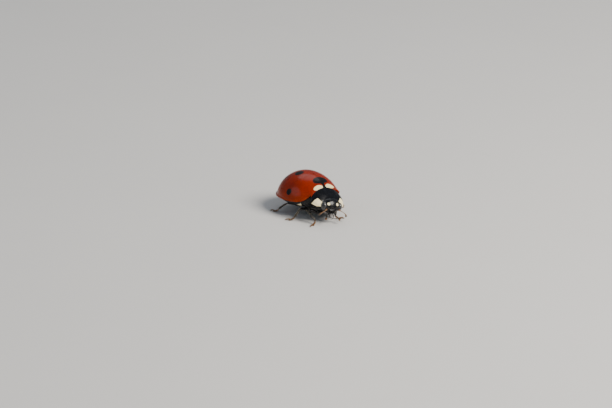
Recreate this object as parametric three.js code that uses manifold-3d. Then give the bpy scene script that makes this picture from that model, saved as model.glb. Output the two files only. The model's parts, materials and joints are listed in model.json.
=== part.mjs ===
// A seven-spot ladybird, Coccinella septempunctata, standing at life size.
// Millimetres, +Z up. The head points to -Y, the beetle's left side is +X and its feet stand on z = 0.
import * as THREE from "three";
import { mergeVertices } from "three/addons/utils/BufferGeometryUtils.js";
import Module from "manifold-3d";

const wasm = await Module();
wasm.setup();

// ---- Driving dimensions, in millimetres, and angles in degrees ----

const GAP = 0.03; // the thin cut that parts one plate from the next

// The wing cases form one dome over the hind body. The rim dips a little along the flanks, comes up again
// at the rear and sweeps up to the shoulders in front.
const DOME = {
  centreY: 0.95,
  halfWidth: 2.68,
  front: 3.0,
  topFront: 3.26,
  rear: 2.8,
  height: 2.51,
  rimZ: 1.31,
  dip: 0.55,
  dipFromY: -0.4,
  frontSweep: 1.15,
  frontSweepReach: 2.6,
  frontSweepPower: 5,
  planPower: 2.35,
  topPower: 1.95,
  rearTopPower: 2.1,
  leastArch: 0.12,
  thickness: 0.5,
};
const SCUTELLUM = { width: 0.5, length: 0.46, thickness: 0.3, lift: 0.03 };
const BELLY = { bottomZ: 0.84, sidePower: 2.6, endPower: 3 };
const THORAX = { frontY: -1.7, waistY: 0.35 };

// The neck shield is an arch that slopes down to the head, cut back in front to let the head out.
const SHIELD = {
  hindY: -1.6,
  hindCornerBack: 0.42,
  frontY: -2.78,
  cornerForward: 0.26,
  cornerAt: 0.62,
  cornerRound: 2.9,
  halfWidth: 1.86,
  frontHalfWidth: 1.36,
  widestY: -2.0,
  topZ: 2.95,
  slope: 0.54,
  slopeGrowth: 0.24,
  hindMarginZ: 1.56,
  frontMarginZ: 1.36,
  wrap: 92,
  thickness: 0.24,
};
const PROTHORAX = { centre: [0, -2.1, 1.42], radii: [1.42, 0.8, 0.82] };

// The neck, at this height behind the shield, tips the shield and head over towards the beetle's left and
// turns them towards its right. shift is how far to the left that carries them.
const NECK = { z: 1.8, tip: 13, turn: 4, shift: 0.12 };
// The head looks further to the right than the shield does, turned about an upright line inside it.
const LOOK = { y: -2.2, turn: 8 };
// The hind body and the wing cases lean over to the left by less, turned about a line at this height.
const LEAN = { z: 0.8, turn: 6 };

const HEAD = { centre: [0, -2.8, 1.5], radii: [0.98, 0.7, 0.74] };
const EYE = { centre: [0.8, -3.0, 1.52], radii: [0.3, 0.36, 0.4] };
const LABRUM = { centre: [0, -3.42, 1.0], radii: [0.46, 0.24, 0.16] };
const FEELER = {
  path: [
    [0.62, -3.48, 1.34],
    [0.98, -3.72, 1.2],
    [1.3, -3.72, 0.98],
    [1.46, -3.56, 0.74],
  ],
  stem: 0.19,
  club: 0.25,
};
const PALP = {
  path: [
    [0.44, -3.32, 0.72],
    [0.66, -3.62, 0.64],
    [0.72, -3.84, 0.46],
  ],
  stem: 0.15,
  end: 0.21,
};

// Each leg runs from its hip to the knee, the ankle and the tip of the foot.
const LEGS = {
  front_right: [[-0.76, -2.05, 0.74], [-2.0, -1.55, 1.2], [-1.68, -2.55, 0.36], [-2.4, -2.85, 0.12]],
  front_left: [[0.5, -2.05, 0.6], [1.5, -1.8, 0.98], [0.6, -2.64, 0.36], [1.22, -3.04, 0.12]],
  middle_right: [[-0.99, -0.55, 0.72], [-2.15, -0.78, 1.02], [-2.62, -0.62, 0.36], [-3.2, -0.12, 0.12]],
  middle_left: [[0.96, -0.55, 0.52], [2.15, -0.85, 0.74], [2.68, -0.85, 0.36], [3.28, -0.5, 0.12]],
  hind_right: [[-0.93, 0.85, 0.72], [-1.98, 1.32, 1.0], [-2.5, 1.98, 0.36], [-2.86, 2.68, 0.12]],
  hind_left: [[0.9, 0.85, 0.52], [2.0, 1.35, 0.6], [2.6, 2.0, 0.36], [3.0, 2.72, 0.12]],
};
const THIGH = { radius: 0.27, hipShare: 0.85 };
const SHIN = { radius: 0.22, kneeShare: 0.88, lap: 0.12 };
const FOOT = { radius: 0.22, joints: 3, lap: 0.25 };
const HIP = { radius: 0.33 };

// ---- Finishes ----

const finish = (color, roughness) => new THREE.MeshStandardMaterial({ color, roughness, metalness: 0 });
const MATERIALS = {
  redCase: finish(0x8f2308, 0.25),
  blackPlate: finish(0x0b0c10, 0.3),
  blackLimb: finish(0x100f0f, 0.45),
  eye: finish(0x15161a, 0.2),
  brownFeeler: finish(0x33200f, 0.5),
};

// ---- Closed surfaces from rows of points ----

// Collects triangles and leaves out any that has shrunk to a line, as the ones round a pole do.
class Surface {
  constructor() {
    this.corners = [];
  }
  triangle(a, b, c) {
    const least = 1e-4;
    if (a.distanceTo(b) > least && b.distanceTo(c) > least && c.distanceTo(a) > least)
      this.corners.push(a, b, c);
  }
  // The corners run anticlockwise as seen from outside.
  quad(a, b, c, d) {
    this.triangle(a, b, c);
    this.triangle(a, c, d);
  }
  geometry() {
    return new THREE.BufferGeometry().setFromPoints(this.corners);
  }
}

// Samples f(u, v) on a grid of (columns + 1) by (rows + 1) points, with u and v from 0 to 1.
function grid(columns, rows, f) {
  const points = [];
  for (let i = 0; i <= columns; i++) {
    points.push([]);
    for (let j = 0; j <= rows; j++) points[i].push(f(i / columns, j / rows));
  }
  return points;
}

// A plate between an outer and an inner grid of the same size, closed by strips along its four sides.
function plate(outer, inner) {
  const surface = new Surface();
  const columns = outer.length - 1;
  const rows = outer[0].length - 1;
  for (let i = 0; i < columns; i++)
    for (let j = 0; j < rows; j++) {
      surface.quad(outer[i][j], outer[i + 1][j], outer[i + 1][j + 1], outer[i][j + 1]);
      surface.quad(inner[i][j], inner[i][j + 1], inner[i + 1][j + 1], inner[i + 1][j]);
    }
  for (let i = 0; i < columns; i++) {
    surface.quad(outer[i][0], inner[i][0], inner[i + 1][0], outer[i + 1][0]);
    surface.quad(outer[i][rows], outer[i + 1][rows], inner[i + 1][rows], inner[i][rows]);
  }
  for (let j = 0; j < rows; j++) {
    surface.quad(outer[0][j], outer[0][j + 1], inner[0][j + 1], inner[0][j]);
    surface.quad(outer[columns][j], inner[columns][j], inner[columns][j + 1], outer[columns][j + 1]);
  }
  return surface.geometry();
}

// A closed body through a row of rings. Each ring runs anticlockwise as seen from beyond the last ring.
function loft(rings) {
  const surface = new Surface();
  const middle = (ring) =>
    ring.reduce((sum, p) => sum.add(p), new THREE.Vector3()).divideScalar(ring.length);
  const last = rings.length - 1;
  const [firstMiddle, lastMiddle] = [middle(rings[0]), middle(rings[last])];
  for (let j = 0; j < rings[0].length; j++) {
    const k = (j + 1) % rings[0].length;
    surface.triangle(firstMiddle, rings[0][k], rings[0][j]);
    surface.triangle(lastMiddle, rings[last][j], rings[last][k]);
    for (let i = 0; i < last; i++)
      surface.quad(rings[i][j], rings[i][k], rings[i + 1][k], rings[i + 1][j]);
  }
  return surface.geometry();
}

// ---- Solids ----

// A closed geometry as a solid that can be joined and cut.
function solid(geometry) {
  const bare = geometry.index ? geometry.toNonIndexed() : geometry.clone();
  bare.deleteAttribute("normal");
  bare.deleteAttribute("uv");
  const merged = mergeVertices(bare, 1e-5);
  const triVerts = new Uint32Array(merged.index.array);
  const vertProperties = merged.attributes.position.array;
  return new wasm.Manifold(new wasm.Mesh({ numProp: 3, vertProperties, triVerts }));
}

// A solid back as a geometry.
function geometryOf(made) {
  const { numVert, numProp, vertProperties, triVerts } = made.getMesh();
  const position = new Float32Array(numVert * 3);
  for (let i = 0; i < numVert; i++)
    position.set(vertProperties.subarray(i * numProp, i * numProp + 3), i * 3);
  const geometry = new THREE.BufferGeometry();
  geometry.setAttribute("position", new THREE.BufferAttribute(position, 3));
  geometry.setIndex(new THREE.BufferAttribute(triVerts, 1));
  return geometry;
}

// All the space on one side of a plane across an axis, where axis 1 is y and axis 2 is z. side is 1 for
// the space above the plane's place on that axis and -1 for the space below it.
function halfSpace(axis, place, side) {
  const far = 20;
  const centre = [0, 0, 0];
  centre[axis] = place + (side * far) / 2;
  return solid(new THREE.BoxGeometry(far, far, far).translate(...centre));
}

// A ball drawn out to three radii, each grown by the same amount.
function ball(centre, radii, sides = 18, grow = 0) {
  const geometry = new THREE.SphereGeometry(1, sides, Math.round(sides * 0.6));
  geometry.rotateX(Math.PI / 2);
  geometry.scale(...radii.map((r) => r + grow));
  return solid(geometry.translate(...centre));
}

// A round-ended bar along a curve through the points. radiusAt gives its radius from start, 0, to end, 1,
// and grow makes it larger all round.
function bar(points, radiusAt, { sides = 8, steps = 7, grow = 0 } = {}) {
  const places = points.map((p) => new THREE.Vector3(...p));
  const curve = new THREE.CatmullRomCurve3(places);
  const blunt = 6;
  const profile = [];
  for (let i = 0; i <= steps; i++) {
    // The steps crowd towards the ends, where the bar rounds off.
    const t = (1 - Math.cos((i / steps) * Math.PI)) / 2;
    const end = i === 0 || i === steps;
    const round = end ? 0 : Math.sqrt(1 - Math.abs(2 * t - 1) ** blunt);
    profile.push(new THREE.Vector2((radiusAt(t) + grow) * round, t));
  }
  const geometry = new THREE.LatheGeometry(profile, sides);
  const position = geometry.attributes.position;
  const up = new THREE.Vector3(0, 0, 1);
  for (let i = 0; i < position.count; i++) {
    const t = THREE.MathUtils.clamp(position.getY(i), 0, 1);
    const along = curve.getTangentAt(t);
    const across = new THREE.Vector3().crossVectors(up, along).normalize();
    const over = new THREE.Vector3().crossVectors(along, across);
    const at = curve.getPointAt(t);
    at.addScaledVector(along, grow * (2 * t - 1));
    at.addScaledVector(across, position.getX(i));
    at.addScaledVector(over, -position.getZ(i));
    position.setXYZ(i, at.x, at.y, at.z);
  }
  return solid(geometry);
}

// The solid seen in a mirror on the plane x = 0 where side is -1, and as it is where side is 1.
const sided = (made, side) => (side > 0 ? made : made.mirror([1, 0, 0]));

// The solid turned to the right with the head.
const looking = (made) =>
  made
    .translate([0, -LOOK.y, 0])
    .rotate([0, 0, -LOOK.turn])
    .translate([0, LOOK.y, 0]);

// The solid tipped and turned about the neck.
const tipped = (made) =>
  made
    .translate([0, -SHIELD.hindY, -NECK.z])
    .rotate([0, NECK.tip, -NECK.turn])
    .translate([NECK.shift, SHIELD.hindY, NECK.z]);

// The solid leaning over with the hind body.
const leaning = (made) =>
  made
    .translate([0, 0, -LEAN.z])
    .rotate([0, LEAN.turn, 0])
    .translate([0, 0, LEAN.z]);

// ---- The dome of the wing cases and the body under it ----

// A quarter of a rounded arch: 1 at share 0 and 0 at share 1.
const arch = (share, power) => (1 - Math.min(1, share) ** power) ** (1 / power);

// Half the dome's width, its rim's height and its top's height at y, for a dome shrunk by inset.
function domeSection(y, inset) {
  const ahead = Math.max(0, DOME.centreY - y);
  const behind = Math.max(0, y - DOME.centreY);
  const rearShare = behind / (DOME.rear - inset);
  const outline = ahead > 0 ? arch(ahead / DOME.front, DOME.planPower) : arch(rearShare, DOME.planPower);
  const profile = ahead > 0 ? arch(ahead / DOME.topFront, DOME.topPower) : arch(rearShare, DOME.rearTopPower);
  const top = DOME.rimZ + (DOME.height - inset) * profile;
  const sweep = DOME.frontSweep * (ahead / DOME.frontSweepReach) ** DOME.frontSweepPower;
  const back = Math.max(0, y - DOME.dipFromY) / (DOME.centreY + DOME.rear - inset - DOME.dipFromY);
  const dip = DOME.dip * back * Math.max(0, 1 - back ** 2);
  const rim = Math.min(DOME.rimZ + sweep - dip, top - DOME.leastArch * profile);
  return { halfWidth: (DOME.halfWidth - inset) * outline, rim, top };
}

// A point of the dome. turn is 0 on the midline and 90 degrees at the rim of the left side.
function domePoint(turn, y, inset) {
  const { halfWidth, rim, top } = domeSection(y, inset);
  return new THREE.Vector3(halfWidth * Math.sin(turn), y, rim + (top - rim) * Math.cos(turn));
}

// Where along y the stations of the dome lie: close together towards the rear, where it rounds off.
function stationY(share, frontY, inset) {
  const [front, rear] = [DOME.front, DOME.rear - inset];
  const start = Math.asin((frontY - DOME.centreY) / front);
  const angle = THREE.MathUtils.lerp(start, Math.PI / 2, share);
  return DOME.centreY + (angle < 0 ? front : rear) * Math.sin(angle);
}

// Where the shield's hind edge lies at a distance x from the middle, with room for it to tip and turn.
function shieldEdgeY(x) {
  const turn = Math.asin(Math.min(1, Math.abs(x) / SHIELD.halfWidth));
  const share = turn / THREE.MathUtils.degToRad(SHIELD.wrap);
  const tipRoom = (2 * SHIELD.hindCornerBack * share * NECK.tip) / SHIELD.wrap;
  const turnRoom = Math.abs(x) * Math.sin(THREE.MathUtils.degToRad(NECK.turn));
  return SHIELD.hindY - SHIELD.hindCornerBack * share * share + tipRoom + turnRoom;
}

// Where a line of the dome at the angle turn comes out from behind the shield.
function frontEdgeY(turn, inset) {
  let [low, high] = [DOME.centreY - DOME.front, DOME.centreY];
  for (let k = 0; k < 40; k++) {
    const y = (low + high) / 2;
    if (y > shieldEdgeY(domePoint(turn, y, inset).x) + GAP) high = y;
    else low = y;
  }
  return high;
}

function wingCase(side) {
  const sheet = (inset) =>
    grid(10, 20, (u, v) => {
      const turn = (u * Math.PI) / 2;
      const point = domePoint(turn, stationY(v, frontEdgeY(turn, inset), inset), inset);
      return point.setX(point.x + GAP / 2);
    });
  const whole = sided(solid(plate(sheet(0), sheet(DOME.thickness))), side);
  return leaning(whole.subtract(scutellum(GAP)));
}

// The small triangle between the wing cases behind the shield. grow makes it larger all round.
function scutellum(grow = 0) {
  const half = SCUTELLUM.width / 2 + 2 * grow;
  const corners = [[-half, 0], [half, 0], [0, SCUTELLUM.length + 3 * grow]];
  const shape = new THREE.Shape(corners.map(([x, y]) => new THREE.Vector2(x, y)));
  // Grown, it reaches well above the plate, so that a cut with it leaves nothing over the plate.
  const above = grow > 0 ? SCUTELLUM.thickness : 0;
  const depth = SCUTELLUM.thickness + grow + above;
  const geometry = new THREE.ExtrudeGeometry(shape, { depth, bevelEnabled: false });
  const frontY = SHIELD.hindY + 2 * GAP;
  const [low, high] = [frontY, frontY + SCUTELLUM.length].map((y) => domeSection(y, 0).top);
  geometry.translate(0, 0, above - depth + SCUTELLUM.lift);
  geometry.rotateX(Math.atan2(high - low, SCUTELLUM.length));
  return solid(geometry.translate(0, frontY, low));
}

// The hind body: the space under the wing cases, with a flat belly. grow makes the belly deeper.
function hindBody(grow = 0) {
  const inset = DOME.thickness + GAP;
  const [stations, sides] = [15, 22];
  const rings = [];
  for (let i = 0; i < stations; i++) {
    const y = stationY(i / stations, THORAX.frontY, inset);
    const { halfWidth, rim, top } = domeSection(y, inset);
    const rearShare = Math.max(0, y - DOME.centreY) / (DOME.rear - inset);
    const depth = (rim - BELLY.bottomZ) * arch(rearShare, BELLY.endPower) + grow;
    rings.push([]);
    for (let j = 0; j < sides; j++) {
      const turn = (2 * Math.PI * j) / sides;
      const [c, s] = [Math.cos(turn), Math.sin(turn)];
      const power = 2 / BELLY.sidePower;
      const below = new THREE.Vector3(halfWidth * Math.sign(s) * Math.abs(s) ** power, y, 0);
      below.z = rim - depth * Math.abs(c) ** power;
      const above = new THREE.Vector3(halfWidth * s, y, rim + (top - rim) * c);
      rings[i].push(c > 0 ? above : below);
    }
  }
  const tailY = DOME.centreY + DOME.rear - inset;
  const tail = new THREE.Vector3(0, tailY, domeSection(tailY, inset).rim);
  rings.push(rings[0].map(() => tail));
  return leaning(solid(loft(rings)));
}

// ---- The neck shield ----

// A point of the shield. u is -1 at the right margin and 1 at the left, v is 0 in front and 1 behind.
function shieldPoint(u, v, inset) {
  const side = Math.abs(u);
  const rounding = SHIELD.cornerRound * Math.max(0, side - SHIELD.cornerAt) ** 2;
  const quarter = Math.min(1, side / SHIELD.cornerAt) * (Math.PI / 2);
  const frontY = SHIELD.frontY - SHIELD.cornerForward * Math.sin(quarter) ** 2 + rounding;
  const hindY = SHIELD.hindY - SHIELD.hindCornerBack * u * u;
  const y = THREE.MathUtils.lerp(frontY, hindY, v);
  const ahead = Math.max(0, SHIELD.widestY - y) / (SHIELD.widestY - SHIELD.frontY);
  const halfWidth = THREE.MathUtils.lerp(SHIELD.halfWidth, SHIELD.frontHalfWidth, ahead ** 1.5);
  const marginZ = THREE.MathUtils.lerp(SHIELD.hindMarginZ, SHIELD.frontMarginZ, ahead);
  const down = SHIELD.hindY - y;
  const topZ = SHIELD.topZ - SHIELD.slope * down - SHIELD.slopeGrowth * down * down;
  const turn = u * THREE.MathUtils.degToRad(SHIELD.wrap);
  const x = (halfWidth - inset) * Math.sin(turn);
  return new THREE.Vector3(x, y, marginZ + (topZ - inset - marginZ) * Math.cos(turn));
}

// The shield, or with grow a thicker and longer one that cuts a gap into its neighbours.
function shield(grow = 0) {
  const stretch = grow / (SHIELD.hindY - SHIELD.frontY);
  const sheet = (inset) =>
    grid(20, 6, (u, v) => shieldPoint(2 * u - 1, THREE.MathUtils.lerp(-stretch, 1 + stretch, v), inset));
  return solid(plate(sheet(-grow), sheet(SHIELD.thickness + grow)));
}

// ---- Head ----

// The head before it looks to the right, and after.
const skull = (grow = 0) => ball(HEAD.centre, HEAD.radii, 18, grow);
const head = (grow = 0) => looking(skull(grow));

const eyeBall = (grow = 0) => ball(EYE.centre, EYE.radii, 12, grow);

const eye = (side) => looking(sided(eyeBall().subtract(skull(GAP)), side)).subtract(shield(GAP));

function feeler(side) {
  const swell = (t) => THREE.MathUtils.smoothstep(t, 0.45, 0.8);
  const radiusAt = (t) => THREE.MathUtils.lerp(FEELER.stem, FEELER.club, swell(t));
  const made = bar(FEELER.path, radiusAt, { steps: 10 });
  return looking(sided(made.subtract(skull(GAP)).subtract(eyeBall(GAP)), side));
}

function palp(side) {
  const swell = (t) => THREE.MathUtils.smoothstep(t, 0.3, 0.8);
  const radiusAt = (t) => THREE.MathUtils.lerp(PALP.stem, PALP.end, swell(t));
  return looking(sided(bar(PALP.path, radiusAt, { steps: 8 }).subtract(skull(GAP)), side));
}

// ---- Legs ----

// The point that lies a distance beyond the first point, away from the second.
function beyond(from, to, distance) {
  const step = new THREE.Vector3(...from).sub(new THREE.Vector3(...to)).setLength(distance);
  return new THREE.Vector3(...from).add(step).toArray();
}

function thigh([hip, knee], grow = 0) {
  const radiusAt = (t) => THIGH.radius * THREE.MathUtils.lerp(THIGH.hipShare, 1, Math.sin(Math.PI * t));
  return bar([hip, knee], radiusAt, { grow });
}

function shin([, knee, ankle], grow = 0) {
  const radiusAt = (t) => SHIN.radius * THREE.MathUtils.lerp(SHIN.kneeShare, 1, t);
  return bar([beyond(knee, ankle, SHIN.lap), ankle], radiusAt, { grow });
}

// The foot: a row of joints in one piece, cut flat where it stands.
function foot([, , ankle, toe]) {
  const [from, to] = [ankle, toe].map((p) => new THREE.Vector3(...p));
  const at = (share) => from.clone().lerp(to, share).toArray();
  let made = null;
  for (let k = 0; k < FOOT.joints; k++) {
    const start = at((k - FOOT.lap) / FOOT.joints);
    const end = at((k + 1 + FOOT.lap) / FOOT.joints);
    const joint = bar([start, end], () => FOOT.radius, { sides: 7, steps: 4 });
    made = made ? made.add(joint) : joint;
  }
  return made.subtract(halfSpace(2, 0, -1));
}

const hipBall = ([hip], grow = 0) => ball(hip, [HIP.radius, HIP.radius, HIP.radius], 10, grow);

// ---- The whole beetle ----

const ladybird = new THREE.Group();

function place(name, made, material) {
  const mesh = new THREE.Mesh(geometryOf(made), material);
  mesh.name = name;
  ladybird.add(mesh);
}

place("pronotum", tipped(shield()), MATERIALS.blackPlate);
place("scutellum", leaning(scutellum()), MATERIALS.blackPlate);
place("head", tipped(head().subtract(shield(GAP))), MATERIALS.blackPlate);
const lip = looking(ball(LABRUM.centre, LABRUM.radii, 12).subtract(skull(GAP)));
place("labrum", tipped(lip), MATERIALS.blackPlate);
for (const [word, side] of [["left", 1], ["right", -1]]) {
  place(`wing_case_${word}`, wingCase(side), MATERIALS.redCase);
  place(`eye_${word}`, tipped(eye(side)), MATERIALS.eye);
  place(`feeler_${word}`, tipped(feeler(side)), MATERIALS.brownFeeler);
  place(`palp_${word}`, tipped(palp(side)), MATERIALS.brownFeeler);
}

const rearOf = (y) => halfSpace(1, y, 1);
const frontOf = (y) => halfSpace(1, y, -1);
const hips = Object.fromEntries(Object.entries(LEGS).map(([name, leg]) => [name, hipBall(leg)]));

const prothorax = tipped(ball(PROTHORAX.centre, PROTHORAX.radii, 16))
  .add(hips.front_left)
  .add(hips.front_right)
  .subtract(tipped(head(GAP)))
  .subtract(rearOf(THORAX.frontY - GAP));
place("prothorax", prothorax, MATERIALS.blackPlate);
const thorax = hindBody()
  .subtract(rearOf(THORAX.waistY))
  .add(hips.middle_left)
  .add(hips.middle_right);
place("thorax", thorax, MATERIALS.blackPlate);
const abdomen = hindBody()
  .subtract(frontOf(THORAX.waistY + GAP))
  .add(hips.hind_left)
  .add(hips.hind_right);
place("abdomen", abdomen, MATERIALS.blackPlate);

const trunk = hindBody(GAP).add(tipped(ball(PROTHORAX.centre, PROTHORAX.radii, 16, GAP)));
for (const [name, leg] of Object.entries(LEGS)) {
  place(`${name}_thigh`, thigh(leg).subtract(hipBall(leg, GAP)).subtract(trunk), MATERIALS.blackLimb);
  place(`${name}_shin`, shin(leg).subtract(thigh(leg, GAP)), MATERIALS.blackLimb);
  place(`${name}_foot`, foot(leg).subtract(shin(leg, GAP)), MATERIALS.blackLimb);
}

export default ladybird;
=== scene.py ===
"""A seven-spot ladybird at life size: shell plates, head, legs, hairs and finishes, built round its frame."""

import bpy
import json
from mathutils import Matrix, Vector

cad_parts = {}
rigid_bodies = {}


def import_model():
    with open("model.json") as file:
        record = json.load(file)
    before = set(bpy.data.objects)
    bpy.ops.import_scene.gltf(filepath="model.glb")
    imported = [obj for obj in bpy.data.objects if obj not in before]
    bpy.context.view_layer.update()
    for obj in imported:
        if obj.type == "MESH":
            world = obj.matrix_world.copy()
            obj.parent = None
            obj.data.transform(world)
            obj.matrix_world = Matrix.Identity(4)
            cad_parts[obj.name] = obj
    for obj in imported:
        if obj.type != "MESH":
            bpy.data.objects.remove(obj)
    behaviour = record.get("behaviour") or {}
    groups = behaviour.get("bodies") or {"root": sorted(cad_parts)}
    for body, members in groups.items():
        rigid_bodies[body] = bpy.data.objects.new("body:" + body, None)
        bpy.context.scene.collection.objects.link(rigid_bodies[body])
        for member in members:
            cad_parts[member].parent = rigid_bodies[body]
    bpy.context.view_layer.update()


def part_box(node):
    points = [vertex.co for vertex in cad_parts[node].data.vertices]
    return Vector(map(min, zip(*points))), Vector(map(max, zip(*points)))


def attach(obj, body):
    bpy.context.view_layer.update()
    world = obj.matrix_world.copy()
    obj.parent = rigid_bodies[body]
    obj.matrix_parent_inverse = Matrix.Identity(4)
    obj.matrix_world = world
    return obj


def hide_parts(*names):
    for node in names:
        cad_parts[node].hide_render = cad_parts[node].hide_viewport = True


bl_info = {
    "name": "Seven-Spot Ladybird",
    "version": (1, 0),
    "blender": (4, 5, 0),
    "location": "3D View > Sidebar > Ladybird",
    "description": "Models a standing ladybird beetle in detail, with its finishes and a small studio",
    "category": "Add Mesh",
}

import json
import math
from contextlib import contextmanager
from functools import lru_cache
from types import SimpleNamespace as Sizes

import bmesh
import bpy
import numpy as np
from bpy.props import FloatProperty, FloatVectorProperty, IntProperty, PointerProperty
from mathutils import Euler, Matrix, Vector, noise

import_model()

# ---- Driving sizes: the pieces are modelled in millimetres and angles are in degrees ----

MM = 0.001
MERGE = 1e-4  # points closer than this are one point
GAP = 0.03

case_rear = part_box("wing_case_left")[1].y / MM

# The dome of the wing cases, over a body whose head points to -Y and whose left side is +X.
DOME = Sizes(
    centre_y=0.95,
    half_width=2.68,
    front=3.0,
    top_front=3.26,
    rear=case_rear - 0.95,
    height=2.51,
    rim_z=1.31,
    dip=0.55,
    dip_from_y=-0.4,
    front_sweep=1.15,
    front_sweep_reach=2.6,
    front_sweep_power=5,
    plan_power=2.35,
    top_power=1.95,
    rear_top_power=2.1,
    least_arch=0.12,
)
SHIELD = Sizes(
    hind_y=-1.6,
    hind_corner_back=0.42,
    front_y=-2.78,
    corner_forward=0.26,
    corner_at=0.62,
    corner_round=2.9,
    half_width=1.86,
    front_half_width=1.36,
    widest_y=-2.0,
    top_z=2.95,
    slope=0.54,
    slope_growth=0.24,
    hind_margin_z=1.56,
    front_margin_z=1.36,
    wrap=92,
)
# The neck tips the shield and head over to the beetle's left and turns them to its right.
NECK = Sizes(z=1.8, tip=13, turn=4, shift=0.12)
# The head looks further to the right than the shield does, turned about an upright line inside it.
LOOK = Sizes(y=-2.2, turn=8)
# The hind body and the wing cases lean over to the left by less, turned about a line at this height.
LEAN = Sizes(z=0.8, turn=6)
HEAD = Sizes(centre=Vector((0, -2.8, 1.5)), radii=Vector((0.98, 0.7, 0.74)))
EYE = Sizes(centre=Vector((0.8, -3.0, 1.52)), radii=Vector((0.3, 0.36, 0.4)))
BELLY = Sizes(bottom_z=0.84, side_power=2.6, end_power=3, inset=0.4, front_y=-1.7, waist_y=0.35)

FEELER_PATH = ((0.62, -3.42, 1.34), (0.98, -3.72, 1.2), (1.3, -3.72, 0.98), (1.46, -3.56, 0.74))
PALP_PATH = ((0.4, -3.3, 0.78), (0.6, -3.56, 0.66), (0.72, -3.84, 0.42))

# Each leg's hip, knee, ankle and toe.
LEGS = {
    "front_right": ((-0.76, -2.05, 0.74), (-2.0, -1.55, 1.2), (-1.68, -2.55, 0.36), (-2.4, -2.85, 0.12)),
    "front_left": ((0.5, -2.05, 0.6), (1.5, -1.8, 0.98), (0.6, -2.64, 0.36), (1.22, -3.04, 0.12)),
    "middle_right": ((-0.99, -0.55, 0.72), (-2.15, -0.78, 1.02), (-2.62, -0.62, 0.36), (-3.2, -0.12, 0.12)),
    "middle_left": ((0.96, -0.55, 0.52), (2.15, -0.85, 0.74), (2.68, -0.85, 0.36), (3.28, -0.5, 0.12)),
    "hind_right": ((-0.93, 0.85, 0.72), (-1.98, 1.32, 1.0), (-2.5, 1.98, 0.36), (-2.86, 2.68, 0.12)),
    "hind_left": ((0.9, 0.85, 0.52), (2.0, 1.35, 0.6), (2.6, 2.0, 0.36), (3.0, 2.72, 0.12)),
}
SIDES = {"left": 1, "right": -1}


class LadybirdSizes(bpy.types.PropertyGroup):
    """Sizes in millimetres."""

    case_thickness: FloatProperty(name="Elytron Thickness", description="Horn of a wing case", default=0.06)
    suture_gap: FloatProperty(name="Suture Gap", description="Between the two wing cases", default=0.012)
    shield_thickness: FloatProperty(name="Shield Thickness", description="Horn of the neck shield", default=0.08)
    disc_spot: FloatProperty(name="Disc Spot", description="Radius of the middle spot of a case", default=0.42)
    side_spot: FloatProperty(name="Side Spot", description="Radius of the spot by the rim", default=0.31)
    rear_spot: FloatProperty(name="Rear Spot", description="Radius of the rear spot of a case", default=0.37)
    thigh_width: FloatProperty(name="Thigh Width", description="Half of a thigh's width", default=0.2)
    shin_width: FloatProperty(name="Shin Width", description="Half of a shin's width at its end", default=0.105)
    hair_length: FloatProperty(name="Hair Length", description="Longest hair of the coat", default=0.12)
    hair_width: FloatProperty(name="Hair Width", description="Half of a hair's width at its root", default=0.004)


class LadybirdColours(bpy.types.PropertyGroup):
    """The colours of the horn, the marks and the hairs."""

    case_red: FloatVectorProperty(
        name="Elytron Red", description="Wing cases over the back", subtype="COLOR", size=4,
        default=(0.2, 0.0115, 0.0004, 1), min=0, max=1,
    )
    # Towards the rim, the orange is partly the wing cases' own paler margin and partly a painted glow of light
    # through the thin horn.
    case_orange: FloatVectorProperty(
        name="Elytron Orange", description="Wing cases towards the rim", subtype="COLOR", size=4,
        default=(0.36, 0.038, 0.001, 1), min=0, max=1,
    )
    spot: FloatVectorProperty(
        name="Spot", description="Spots of the wing cases", subtype="COLOR", size=4,
        default=(0.006, 0.005, 0.006, 1), min=0, max=1,
    )
    ivory: FloatVectorProperty(
        name="Ivory", description="Pale marks of the shield and head", subtype="COLOR", size=4,
        default=(0.92, 0.8, 0.5, 1), min=0, max=1,
    )
    cream: FloatVectorProperty(
        name="Cream", description="Pale patches at the base of the wing cases", subtype="COLOR", size=4,
        default=(0.92, 0.72, 0.38, 1), min=0, max=1,
    )
    # The black horn carries a slight blue tint, which is a painted sky sheen.
    horn: FloatVectorProperty(
        name="Horn", description="Black horn of the shield, head and body", subtype="COLOR", size=4,
        default=(0.004, 0.0043, 0.006, 1), min=0, max=1,
    )
    limb_tip: FloatVectorProperty(
        name="Limb Tip", description="Brown of the feet", subtype="COLOR", size=4,
        default=(0.2, 0.075, 0.018, 1), min=0, max=1,
    )
    feeler: FloatVectorProperty(
        name="Feeler", description="Brown of the feelers", subtype="COLOR", size=4,
        default=(0.24, 0.1, 0.028, 1), min=0, max=1,
    )
    hair: FloatVectorProperty(
        name="Hair", description="Fine hairs", subtype="COLOR", size=4,
        default=(0.22, 0.19, 0.13, 1), min=0, max=1,
    )


class LadybirdStudio(bpy.types.PropertyGroup):
    """The floor, the lights and the camera."""

    floor: FloatVectorProperty(
        name="Floor", description="Colour of the floor", subtype="COLOR", size=4,
        default=(0.62, 0.61, 0.6, 1), min=0, max=1,
    )
    key: FloatProperty(name="Key", description="Power of the main light", default=0.95, unit="POWER")
    fill: FloatProperty(name="Fill", description="Power of the light from the other side", default=0.06, unit="POWER")
    top: FloatProperty(name="Top", description="Power of the light overhead", default=0.12, unit="POWER")
    azimuth: FloatProperty(
        name="Azimuth", description="Turn of the camera round the beetle", subtype="ANGLE",
        default=math.radians(-37.6),
    )
    elevation: FloatProperty(
        name="Elevation", description="Height of the camera above the floor, as an angle", subtype="ANGLE",
        default=math.radians(20.7),
    )
    distance: FloatProperty(
        name="Distance", description="From the camera to the beetle", unit="LENGTH", default=0.25,
    )


# ---- Modelling in edit mode and with modifiers ----


def hold(piece):
    """Makes a piece the only one selected."""
    if bpy.context.mode != "OBJECT":
        bpy.ops.object.mode_set(mode="OBJECT")
    bpy.ops.object.select_all(action="DESELECT")
    if piece is not None:
        piece.select_set(True)
        bpy.context.view_layer.objects.active = piece


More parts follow.
